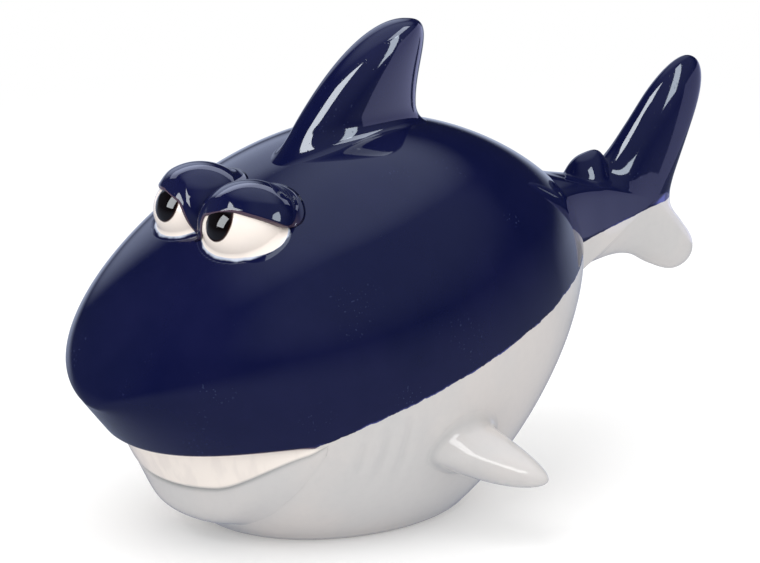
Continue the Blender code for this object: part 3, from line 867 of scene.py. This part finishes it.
def pectoralPoint(share, turn):
    # an ellipse that shrinks along a swept, drooping axis and rounds off at the tip, slimmer
    # below than above near the root, and drawn to a soft ridge along its edges further out
    share, turn = np.broadcast_arrays(share, turn)
    form = pectoralForm
    start = np.array([pectoralSkin - form["sink"], form["y"], form["z"]])
    outerX = pectoralSkin + form["reach"]
    end = np.array([outerX, form["y"] + form["sweep"], form["z"] - form["drop"]])
    axis = unit(end - start)
    chord = np.array([0, math.cos(form["twist"]), math.sin(form["twist"])])
    chord = unit(chord - axis * chord.dot(axis))
    thick = np.cross(axis, chord)
    rounding = np.sqrt(np.clip(1 - share ** 5, 0, 1))
    halfChord = (form["root"][0] + (form["end"][0] - form["root"][0]) * share) * rounding
    halfThick = (form["root"][1] + (form["end"][1] - form["root"][1]) * share) * rounding
    spine = start + (end - start) * share[..., None]
    upward = np.sin(turn) * np.sign(thick[2])
    slim = 1 - form["underside"] * (1 - share) * ease(-upward, 0.0, 1.0)
    ridge = form["ridge"] * ease(share, 0.22, 0.55) * (1 - ease(share, 0.80, 0.97))
    ridged = np.abs(np.sin(turn)) ** ridge
    return (spine + (halfChord * np.cos(turn))[..., None] * chord
            + (halfThick * slim * ridged * np.sin(turn))[..., None] * thick)


def pectoralGap(points):
    # rough distance in millimetres from the root line of the nearer side fin
    turn = np.linspace(0, fullTurn, 72, endpoint=False)
    line = pectoralPoint(rootShare(pectoralPoint, turn), turn)
    flat = points.reshape(-1, 3).copy()
    flat[:, 0] = np.abs(flat[:, 0])
    gap = np.full(len(flat), 99.0)
    near = np.linalg.norm(flat - line.mean(axis=0), axis=1) < 14
    chosen = flat[near]
    gap[near] = np.min(np.linalg.norm(chosen[:, None] - line[None], axis=-1), axis=1)
    return gap.reshape(points.shape[:-1])


def rootShare(finPoint, turn):
    # share of the fin's length at which it leaves the skin
    return turningPoint(0 * turn, 0 * turn + 0.9, lambda share: insideBody(finPoint(share, turn)))


def finRows(finPoint, centre, rise, reach, count=110):
    # a pole under the skin, a fillet that runs off tangent to the skin, then the fin to its
    # tip; the fillet is a quadratic curve from the skin, by the root line, up to the fin
    turn = ringAngles(finColumns)
    centre = np.array(centre)
    root = rootShare(finPoint, turn)
    corner = finPoint(root, turn)
    around = finPoint(root, turn + 0.01) - finPoint(root, turn - 0.01)
    upward = finPoint(root + 0.01, turn) - finPoint(root - 0.01, turn)
    outward = unit(np.cross(around, upward))
    middle = corner.mean(axis=1, keepdims=True)
    outward = outward * np.sign(np.sum(outward * (corner - middle), axis=-1, keepdims=True))
    foot = ontoSkin(corner + outward * np.asarray(reach)[..., None], centre, 0.04)
    start = root + rise / finLength
    fillet = curveBy(np.linspace(0, 1, 16)[:, None, None], foot, corner, finPoint(start, turn))
    share = start + (1 - start) * np.sin(np.linspace(0, 1, count)[1:, None] * math.pi / 2)
    blade = finPoint(np.minimum(share, 0.9995), turn)
    under = centre + (foot - centre) * 0.93
    pole = centre + (corner - centre) * 0.85
    rows = np.concatenate([pole, under, fillet, blade, finPoint(1.0, turn)])
    # share along the fillet, most at its middle, which the side fins use for painted shade in the
    # crease
    creaseShare = np.concatenate([[0, 0], 1 - np.abs(np.linspace(-1, 1, 16)), np.zeros(count)])
    return rows, creaseShare[:, None]


def clearMarks(**given):
    # the marks that the two-tone glaze reads, with those that a piece doesn't use at zero
    names = ("paintRagged", "edgeTintAndReflection", "bareFoot", "eyeHalo", "creaseShade", "thinPaint")
    return {**{name: 0.0 for name in names}, **given}


tailForm = {
    "y": 26.0,
    "z": 31.5,
    "middle": (13.6, 1.2),
    "outline": (
        (-10.0, 6.4), (-5.5, 7.3), (-1.6, 6.6), (2.0, 6.0), (5.4, 6.3), (8.2, 8.3), (11.3, 11.7),
        (15.0, 15.9), (18.3, 18.5), (21.0, 19.4), (22.9, 18.4), (23.3, 16.0), (21.9, 12.2),
        (19.9, 7.6), (18.4, 4.0), (17.7, 1.3), (18.0, -1.0), (20.0, -3.6), (22.0, -6.3),
        (22.2, -8.4), (20.7, -9.8), (18.2, -10.0), (14.6, -8.5), (11.6, -6.8), (8.4, -6.2),
        (4.6, -6.4), (0.6, -7.0), (-3.0, -8.0), (-8.0, -9.0), (-12.0, -4.0), (-12.5, 2.0),
    ),
    "stalkHalfWidth": 4.1,
    "lobeHalfWidth": 3.0,
    "flare": 2.4,
    "flareLength": 9.5,
    "profile": 2.4,
    "edgeBelowRoot": 1.8,
    "edgeSlope": 0.155,
}


def closedCurve(points, count):
    # smooth closed curve through points at even steps: each stretch is a cubic whose slope at
    # a point is half the way between that point's neighbours
    points = np.asarray(points, float)
    steps = np.linspace(0, len(points), 4000, endpoint=False)
    index = steps.astype(int)
    t = (steps - index)[:, None]
    a, b, c, d = (points[(index + shift) % len(points)] for shift in (-1, 0, 1, 2))
    curve = 2 * b + (c - a) * t + (2 * a - 5 * b + 4 * c - d) * t ** 2
    curve = 0.5 * (curve + (3 * b - a - 3 * c + d) * t ** 3)
    stretch = np.linalg.norm(np.roll(curve, -1, axis=0) - curve, axis=1)
    length = np.concatenate([[0], np.cumsum(stretch)])
    closed = np.concatenate([curve, curve[:1]])
    at = np.linspace(0, length[-1], count, endpoint=False)
    return np.stack([np.interp(at, length, closed[:, k]) for k in range(2)], axis=-1)


def tailRows(columns=420, count=54):
    # a plump plate: points run from the middle of one side out to the outline and back to
    # the middle of the other side, and the half thickness falls to nothing at the outline
    outline = closedCurve(tailForm["outline"], columns)[None]
    middle = np.array(tailForm["middle"])
    swing = np.linspace(0, math.pi, 2 * count + 1)[:, None]
    out = np.sin(swing)
    side = np.sign(np.cos(swing))
    flat = middle + (outline - middle) * out[..., None]
    back, up = flat[..., 0], flat[..., 1]
    lobe, stalk = tailForm["lobeHalfWidth"], tailForm["stalkHalfWidth"]
    half = lobe + (stalk - lobe) * (1 - ease(back, 3.0, 14.0))
    flare = tailForm["flare"] * np.clip(1 - (back + 2.0) / tailForm["flareLength"], 0, 1.4) ** 2
    thick = (half + flare) * np.sqrt(np.clip(1 - out ** tailForm["profile"], 0, 1))
    return np.stack([side * thick, tailForm["y"] + back, tailForm["z"] + up], axis=-1)


def tailMarks(rows):
    # height over the tail's painted edge, which rises to the rear, and thinner paint there
    back = rows[..., 1] - tailForm["y"]
    edge = tailForm["z"] - tailForm["edgeBelowRoot"] + tailForm["edgeSlope"] * back
    thin = 0.6 + 4.6 * ease(back, 12.0, 16.8)
    return clearMarks(paintEdge=rows[..., 2] - edge, paintRagged=0.45, thinPaint=thin)


knobForm = {
    "back": 4.0,
    "front": 3.4,
    "rear": 2.9,
    "halfWidth": 2.9,
    "height": 2.4,
    "blend": 0.40,
    "rim": 0.15,
}


def stalkTop(back, across):
    # height of the stalk's upper side, from a smooth fit to the tail plate's own points
    points = tailRows().reshape(-1, 3) - (0, tailForm["y"], tailForm["z"])
    chosen = points[(points[:, 1] > -3) & (points[:, 1] < 7.5) & (points[:, 2] > 2.0)]

    def terms(b, x):
        return np.stack([b ** i * x ** (2 * j) for i in range(3) for j in range(4)], axis=-1)

    weights = np.linalg.lstsq(terms(chosen[:, 1], chosen[:, 0]), chosen[:, 2], rcond=None)[0]
    return terms(back, across) @ weights


def knobRows(columns=144, count=60):
    # a hump on the stalk, longer in front of its top than behind: its height falls as one
    # less a power of the share out from there and is eased to nothing past its foot
    turn = ringAngles(columns)
    out = np.linspace(0, 1.2, count)[:, None]
    form = knobForm
    x = form["halfWidth"] * out * np.cos(turn)
    halfLength = np.where(np.sin(turn) > 0, form["rear"], form["front"])
    back = form["back"] + halfLength * out * np.sin(turn)
    hump = form["height"] * (1 - out ** 3)
    hump = (hump + np.sqrt(hump ** 2 + form["blend"] ** 2)) / 2 - form["rim"] * out ** 6 / 3
    z = stalkTop(back, x) + hump
    shell = np.stack([x, tailForm["y"] + back, tailForm["z"] + z], axis=-1)
    return np.concatenate([shell, shell[-1:] - (0, 0, 0.8), shell[-1:] - (0, 0, 1.4)])


def domePoint(turn, elevation, axes, middle):
    # a point of an ellipsoid by its turn about the upright axis and its elevation
    return middle + directionAt(turn, elevation) * np.array(axes)


def lowestClear(turn, axes, middle, covered):
    # the lowest elevation on a dome at which it is no longer covered
    return turningPoint(
        np.full_like(turn, -1.3), np.full_like(turn, 1.4),
        lambda elevation: covered(domePoint(turn, elevation, axes, middle)),
    )


def eyeballRows(name, columns=240, count=170):
    # an ellipsoid with upright poles, kept on its own side of the middle; the pupil stands
    # proud as a drop whose height is one less the squared share out from its middle
    turn = ringAngles(columns)
    elevation = np.linspace(math.pi / 2, -math.pi / 2, count)[:, None]
    rows = domePoint(turn, elevation, eyeForm["axes"], eyeCentre)
    local = rows - eyeCentre
    across, up = eyeForm["pupilAcross"][name], eyeForm["pupilUp"]
    halfAcross, halfUp = eyeForm["pupilHalf"]
    pupil = np.hypot((local[..., 0] - across) / halfAcross, (local[..., 2] - up) / halfUp)
    pupil = np.minimum(np.where(local[..., 1] < 0, pupil, 9.0), 3.0)
    drop = eyeForm["pupilHeight"] * np.clip(1 - pupil ** 2, 0, 1) ** 0.85
    outward = unit(local / np.array(eyeForm["axes"]) ** 2)
    rows = rows + outward * drop[..., None]
    rows[..., 0] = np.maximum(rows[..., 0], 0.06)
    return rows, {"pupilEdge": pupil, "creaseShade": 0.0}


def socketRows(columns=200):
    # the glaze that fills the corner between eyeball and head: a quadratic curve from the
    # head, by the line where the two meet, up the eyeball; it dies away behind the eye
    turn = ringAngles(columns)
    axes = np.array(eyeForm["axes"])
    limit = lowestClear(turn, axes, eyeCentre, insideBody)
    corner = domePoint(turn, limit, axes, eyeCentre)
    front = ease(np.cos(turn), -0.7, 0.0)
    outer = ease(np.sin(turn) - np.cos(turn) * 0.3, 0.5, 1.1)
    outward = unit((corner - eyeCentre) * (1, 1, 0))
    reach = 0.12 + (eyeForm["socketReach"] + eyeForm["outerReach"] * outer) * front
    head = eyeForm["headCentre"]
    foot = ontoSkin(corner + outward * reach[..., None], head, 0.03)
    rise = (0.1 + eyeForm["socketRise"] * front) / axes[1]
    top = domePoint(turn, limit + rise, axes - 0.02, eyeCentre)
    t = np.linspace(0, 1, 20)[:, None, None]
    fillet = curveBy(t, foot, corner, top)
    under = ontoSkin(foot, head, 0.8)
    low = np.broadcast_to(ontoSkin(corner, head, 2.0).mean(axis=1, keepdims=True), under.shape)
    inside = domePoint(turn, limit + rise, axes * 0.8, eyeCentre)
    high = np.broadcast_to(inside.mean(axis=1, keepdims=True), under.shape)
    rows = np.concatenate([low, under, fillet, inside, high])
    rows[..., 0] = np.maximum(rows[..., 0], 0.02)
    away = np.linalg.norm(fillet - corner, axis=-1) * np.where(t[..., 0] < 0.5, 1, -1)
    narrow, wide = eyeForm["whiteWidth"]
    edge = away - narrow - (wide - narrow) * outer
    edge = np.concatenate([edge[:1], edge[:1], edge, edge[-1:], edge[-1:]])
    return rows, {"whiteEdge": edge + 3.0 * (1 - ease(np.cos(turn), -0.75, -0.35))}


def lidEdgeHeight(x, y, name):
    # height of the lid's lower edge over the eye's middle: a slope to the rear with an arch,
    # a soft peak across, and a curtain that falls as a square toward the nose
    form = eyeForm
    peak, at, inner, outer = form["lidPeak"][name]
    arch = peak - form["lidSlope"] * y - form["lidArch"] * (y - form["lidArchAt"]) ** 2
    past = x - at
    bend = np.sqrt(past ** 2 + 0.3)
    across = inner * (past - bend) / 2 - outer * (past + bend) / 2
    start, fall, reach = form["curtain"][name]
    return arch + across - fall * np.clip(start - x, 0, reach) ** 2


def softRing(values, width):
    # values round a ring, each the mean of its neighbours weighted by a bell of this width
    shifts = np.arange(-3 * width, 3 * width + 1)
    weights = np.exp(-(shifts / width) ** 2)
    return sum(w * np.roll(values, s, axis=1) for w, s in zip(weights, shifts)) / weights.sum()


def lidRows(name, columns=320, count=72):
    # a dome over the eyeball: each meridian runs from the top down to the lid's edge in
    # front, where its wall thins, or to the head behind, where it runs out in a hollow
    # corner, and then comes back up inside
    turn = ringAngles(columns)
    form = eyeForm
    innerAxes = np.array(form["axes"]) + form["lidGap"]
    middle = eyeCentre + (0, form["lidSetback"], 0)

    def overEdge(points):
        # height over the lid's edge
        x, y, z = np.moveaxis(points - eyeCentre, -1, 0)
        return z - lidEdgeHeight(x, y, name)

    def covered(points):
        # true below the lid's edge or inside the body
        return (overEdge(points) <= 0) | insideBody(points)

    thinAxes = innerAxes + form["lidEdgeWall"]
    thin = lowestClear(turn, thinAxes, middle, covered)
    full = lowestClear(turn, innerAxes + form["lidWall"], middle, covered)
    rear = ease(overEdge(domePoint(turn, thin, thinAxes, middle)), 0.05, 1.2)
    limit = thin + (full - thin) * rear
    behind = ease(-np.cos(turn), -0.35, 0.25)
    limit = softRing(limit, 2) * (1 - behind) + softRing(limit, 9) * behind
    rear = softRing(rear, 2) * (1 - behind) + softRing(rear, 9) * behind

    def outerPoint(elevation):
        # the outer face, whose wall thins toward the edge in front
        nearEdge = (1 - rear) * (1 - ease(elevation - limit, 0.0, 0.5))
        wall = form["lidWall"] + (form["lidEdgeWall"] - form["lidWall"]) * nearEdge
        return domePoint(turn, elevation, innerAxes + wall[..., None], middle)

    corner = outerPoint(limit)
    lift = 0.07 + form["filletRise"] * rear
    share = np.linspace(0, 1, count)[:, None]
    outer = outerPoint(math.pi / 2 + (limit + lift - math.pi / 2) * share ** 0.9)
    outward = unit((corner - middle) * (1, 1, 0))
    onHead = ontoSkin(corner + outward * form["fillet"], form["headCentre"], 0.04)
    innerEdge = domePoint(turn, limit + 0.05, innerAxes, eyeCentre)
    foot = innerEdge * (1 - rear)[..., None] + onHead * rear[..., None]
    roll = curveBy(np.linspace(0, 1, 16)[1:, None, None], outer[-1:], corner, foot)
    upward = (limit + 0.12) * (1 - share ** 1.1) + math.pi / 2 * share ** 1.1
    inner = domePoint(turn, upward, innerAxes, eyeCentre)
    rows = np.concatenate([outer, roll, inner[1:]])
    fold = form["fold"]
    shifted = rows[..., 0] - 0.06
    rows[..., 0] = 0.06 + (shifted + np.sqrt(shifted ** 2 + fold ** 2)) / 2
    rows[..., 0] -= fold ** 2 / 4 / np.maximum(np.abs(shifted) + fold, fold)
    rows[..., 0] = np.maximum(rows[..., 0], 0.05)
    # a pinkish line painted along the lid's edge in front
    edgeTintAndReflection = np.zeros((len(rows), columns))
    edgeTintAndReflection[count + 4:count + 15] = 0.45 * (1 - rear)
    return rows, {"edgeTintAndReflection": edgeTintAndReflection}


bodyGlaze = twoToneGlaze("body_two_tone_glaze")
tailGlaze = twoToneGlaze("tail_two_tone_glaze")
navy = navyGlaze("navy_glaze")
white = whiteGlaze("white_glaze")
cream = teethGlaze("teeth_glaze")
eyePaint = eyeGlaze("eye_glaze")
socketPaint = socketGlaze("socket_glaze")
print("glazes ready")

makeBody(bodyGlaze)
rows, marks = teethRows()
makePiece("teeth_band", rows, cream, ["teeth_strip"], marks)
rows, marks = jawRows()
makePiece("jaw_swell", rows, white, ["lower_jaw"], marks)

form = dorsalForm
rows, _ = finRows(dorsalPoint, form["centre"], form["filletRise"], form["filletReach"])
makePiece("dorsal_blade", rows, navy, ["dorsal_fin"], {"edgeTintAndReflection": 0.0})
tailShape = tailRows()
makePiece("tail_plate", tailShape, tailGlaze, ["tail_fin"], tailMarks(tailShape))
makePiece("tail_knob", knobRows(), navy, ["second_dorsal_fin"], {"edgeTintAndReflection": 0.0})

form = pectoralForm
more = form["filletBelow"] * ease(np.sin(ringAngles(finColumns)), 0.1, 0.9)
finSkin, crease = finRows(
    pectoralPoint, form["centre"], form["filletRise"] + more, form["filletReach"] + more
)
socketSkin, socketMarks = socketRows()
for name, side in (("left", 1), ("right", -1)):
    mirror = (side, 1, 1)
    # the side fin is greyer in its root fillet: painted shade
    makePiece(name + "_side_fin", finSkin * mirror, white, [name + "_pectoral_fin"],
              {"creaseShade": crease * 0.3})
    rows, marks = eyeballRows(name)
    makePiece(name + "_eye", rows * mirror, eyePaint, [name + "_eyeball"], marks)
    makePiece(name + "_socket", socketSkin * mirror, socketPaint, [name + "_eyeball"],
              socketMarks)
    rows, marks = lidRows(name)
    makePiece(name + "_lid", rows * mirror, navy, [name + "_eyelid"], marks)


viewAzimuth = 53.0
studio = {
    "floorSize": 4.0,
    "floorColour": (0.84, 0.84, 0.84, 1.0),
    "floorGlow": (0.10, 0.08),  # for all, and more for the camera
    "farGlow": (0.8, 0.2),  # the same further out
    "farFrom": (0.06, 0.22),
    "fill": 1.0,
    # lamps that only show as crisp highlights: azimuth, elevation, distance, width, height
    # and watts, then the colour and the pieces that mirror the lamp
    "highlights": {
        "window_lamp": ((46.0, 46.0, 0.60, 0.23, 0.25, 2.8), (0.88, 0.94, 1.0), ("dorsal_blade",)),
        "tail_lamp": ((44.0, 54.0, 0.60, 0.27, 0.15, 1.9), (0.88, 0.94, 1.0), ("tail_plate",)),
        "side_lamp": (
            (112.0, 34.0, 0.60, 0.11, 0.46, 1.7), (0.80, 0.90, 1.0),
            ("dorsal_blade", "tail_plate"),
        ),
        "knob_lamp": ((108.0, 31.0, 0.60, 0.20, 0.30, 1.9), (0.80, 0.90, 1.0), ("tail_knob",)),
        "lid_lamp": (
            (110.0, 27.0, 0.60, 0.17, 0.16, 0.7), (0.80, 0.90, 1.0), ("left_lid", "right_lid"),
        ),
        "lid_panel": (
            (233.0, 38.0, 0.60, 1.1, 0.19, 1.2), (0.72, 0.78, 1.0), ("left_lid", "right_lid"),
        ),
        "eye_lamp": (
            (-10.0, 32.0, 0.60, 0.32, 0.42, 4.0), (0.92, 0.96, 1.0),
            ("left_eye", "right_eye", "left_lid", "right_lid"),
        ),
        "side_fin_lamp": (
            (59.0, 46.0, 0.60, 0.36, 0.18, 1.05), (1.0, 1.0, 1.0),
            ("left_side_fin", "right_side_fin"),
        ),
        "fin_root_lamp": (
            (141.0, 62.0, 0.60, 0.36, 0.20, 1.7), (0.80, 0.88, 1.0), ("dorsal_blade",),
        ),
        "fin_panel": ((161.0, -3.0, 0.60, 0.97, 0.54, 2.2), (0.58, 0.60, 1.0), ("dorsal_blade",)),
        "tail_panel": ((166.0, -4.0, 0.60, 0.90, 0.30, 0.90), (0.58, 0.60, 1.0), ("tail_plate",)),
        "eye_corner_lamp": (
            (338.0, 77.0, 0.60, 0.27, 0.25, 0.60), (0.78, 0.86, 1.0),
            ("left_socket", "right_socket"),
        ),
    },
    # a lamp that only shades: the same values
    "shading": (15.0, 62.0, 0.70, 0.50, 0.50, 1.6),
    # soft bright areas that the glaze mirrors: azimuth, elevation, spread in degrees from
    # where it starts to where it is full, and strength
    "mirrored": (
        (-140.0, 72.0, 44.0, 16.0, 0.85),
        (110.0, 52.0, 62.0, 24.0, 0.30),
        (-52.0, -4.0, 56.0, 20.0, 0.08),
        (-110.0, 23.0, 24.0, 10.0, 1.1),
    ),
    "mirroredRoom": 0.02,
    # the mirrored table: strength near and behind, then the heights over which each goes out
    # and the direction, start and full spread of the part behind
    "mirroredFloor": (0.28, 0.80),
    "nearFades": (-0.35, 0.22),
    "behindStarts": (-0.55, -0.05),
    "behindFades": (-0.10, 0.12),
    "behind": (viewAzimuth + 180, -10.0, 62.0, 30.0),
    "mirroredTone": (0.78, 0.88, 1.16),
}
viewPoint = {
    "azimuth": viewAzimuth,
    "elevation": 16.75,
    "distance": 0.640,
    "aim": (0.0, -0.0046, 0.0284),
    "lens": 233.4,
    "sensor": 36.0,
}


def fromAzimuth(azimuth, elevation):
    # unit vector toward a viewer: azimuth 0 is toward -Y and 90 toward +X
    return directionAt(math.radians(azimuth), math.radians(elevation))


def aimFrom(thing, azimuth, elevation, distance):
    # put a thing at a distance from the aim point, with its -Z toward that point
    place = np.array(viewPoint["aim"]) + fromAzimuth(azimuth, elevation) * distance
    thing.location = place
    thing.rotation_euler = Vector(viewPoint["aim"] - place).to_track_quat("-Z", "Y").to_euler()


def makeFloor():
    # paper that takes the shadow, lifted to white for the camera and white further out;
    # the glaze doesn't mirror it, because the world holds all that is mirrored
    half = studio["floorSize"] / 2
    corners = [(-half, -half, 0), (half, -half, 0), (half, half, 0), (-half, half, 0)]
    mesh = bpy.data.meshes.new("floor")
    mesh.from_pydata(corners, [], [(0, 1, 2, 3)])
    graph = newMaterial("floor_paper")
    measure = {"operation": "LENGTH"}
    away = graph.node("ShaderNodeVectorMath", measure, {0: graph.place}, output="Value")
    isCamera = graph.node("ShaderNodeLightPath", output="Is Camera Ray")

    def glow(forAll, forCamera):
        inputs = {"Color": (1, 1, 1, 1), "Strength": isCamera * forCamera + forAll}
        return graph.node("ShaderNodeEmission", None, inputs)

    paper = graph.node("ShaderNodeBsdfDiffuse", None, {"Color": studio["floorColour"]})
    near = graph.node("ShaderNodeAddShader", None, {0: paper, 1: glow(*studio["floorGlow"])})
    share = graph.step(away, *studio["farFrom"])
    shaders = {0: share, 1: near, 2: glow(*studio["farGlow"])}
    shader = graph.node("ShaderNodeMixShader", None, shaders)
    graph.node("ShaderNodeOutputMaterial", None, {"Surface": shader})
    mesh.materials.append(graph.owner)
    floor = addObject("floor", mesh)
    floor.visible_glossy = False


def makeWorld():
    # white to the camera, an even light to dull surfaces, and to the glaze a dim room with
    # soft bright areas: each is a smooth step on the cosine of the angle from its middle
    world = bpy.data.worlds.new("studio")
    bpy.context.scene.world = world
    graph = Graph(world)
    isCamera = graph.node("ShaderNodeLightPath", output="Is Camera Ray")
    isGlossy = graph.node("ShaderNodeLightPath", output="Is Glossy Ray")
    isThrough = graph.node("ShaderNodeLightPath", output="Is Transmission Ray")
    towards = graph.node("ShaderNodeTexCoord", output="Generated")
    height = graph.node("ShaderNodeSeparateXYZ", None, {0: towards}, output="Z")

    def nearness(azimuth, elevation, start, full):
        # 1 within full degrees of a direction and 0 beyond start degrees
        settings = {"operation": "DOT_PRODUCT"}
        inputs = {0: towards, 1: tuple(fromAzimuth(azimuth, elevation))}
        cosine = graph.node("ShaderNodeVectorMath", settings, inputs, output="Value")
        return graph.step(cosine, math.cos(math.radians(start)), math.cos(math.radians(full)))

    seen = studio["mirroredRoom"]
    for azimuth, elevation, start, full, strength in studio["mirrored"]:
        lobe = nearness(azimuth, elevation, start, full) * strength
        seen = lobe.maths("MAXIMUM", lobe, seen)
    near, far = studio["mirroredFloor"]
    table = (1 - graph.step(height, *studio["nearFades"])) * near
    band = graph.step(height, *studio["behindStarts"])
    band = (1 - graph.step(height, *studio["behindFades"])) * band
    behind = band * nearness(*studio["behind"]) * far
    seen = table.maths("MAXIMUM", table, behind.maths("MAXIMUM", behind, seen))
    others = 1 - isCamera - isThrough
    strength = isCamera + isThrough + others * (isGlossy * seen + (1 - isGlossy) * studio["fill"])
    tone = graph.mix(others * isGlossy, (1.0, 1.0, 1.0), studio["mirroredTone"])
    background = graph.node("ShaderNodeBackground", None, {"Color": tone, "Strength": strength})
    graph.node("ShaderNodeOutputWorld", None, {"Surface": background})


def makeLamp(name, azimuth, elevation, distance, width, height, watts):
    # a rectangle of light that looks at the object and stays out of the picture
    lamp = bpy.data.lights.new(name, "AREA")
    lamp.shape, lamp.size, lamp.size_y, lamp.energy = "RECTANGLE", width, height, watts
    box = addObject(name, lamp)
    aimFrom(box, azimuth, elevation, distance)
    box.visible_camera = False
    return box


def makeHighlight(name, values, colour, pieces):
    # a lamp that shows only as a highlight, and only on the pieces named
    receivers = bpy.data.collections.new(name + "_on")
    for piece in pieces:
        receivers.objects.link(bpy.data.objects[piece])
    box = makeLamp(name, *values)
    box.visible_diffuse = False
    box.data.color = colour
    box.light_linking.receiver_collection = receivers


def makeLights():
    # the broad back stays free of hard highlights, as a polarised softbox leaves it
    for name, values in studio["highlights"].items():
        makeHighlight(name, *values)
    shade = makeLamp("shading_lamp", *studio["shading"])
    shade.visible_glossy = False


def makeCamera():
    # the photo's own view
    lens = bpy.data.cameras.new("camera")
    lens.sensor_width, lens.lens = viewPoint["sensor"], viewPoint["lens"]
    camera = addObject("camera", lens)
    aimFrom(camera, viewPoint["azimuth"], viewPoint["elevation"], viewPoint["distance"])
    bpy.context.scene.camera = camera


makeFloor()
makeWorld()
makeLights()
makeCamera()
bpy.context.scene.view_settings.view_transform = "Standard"
print("studio ready")
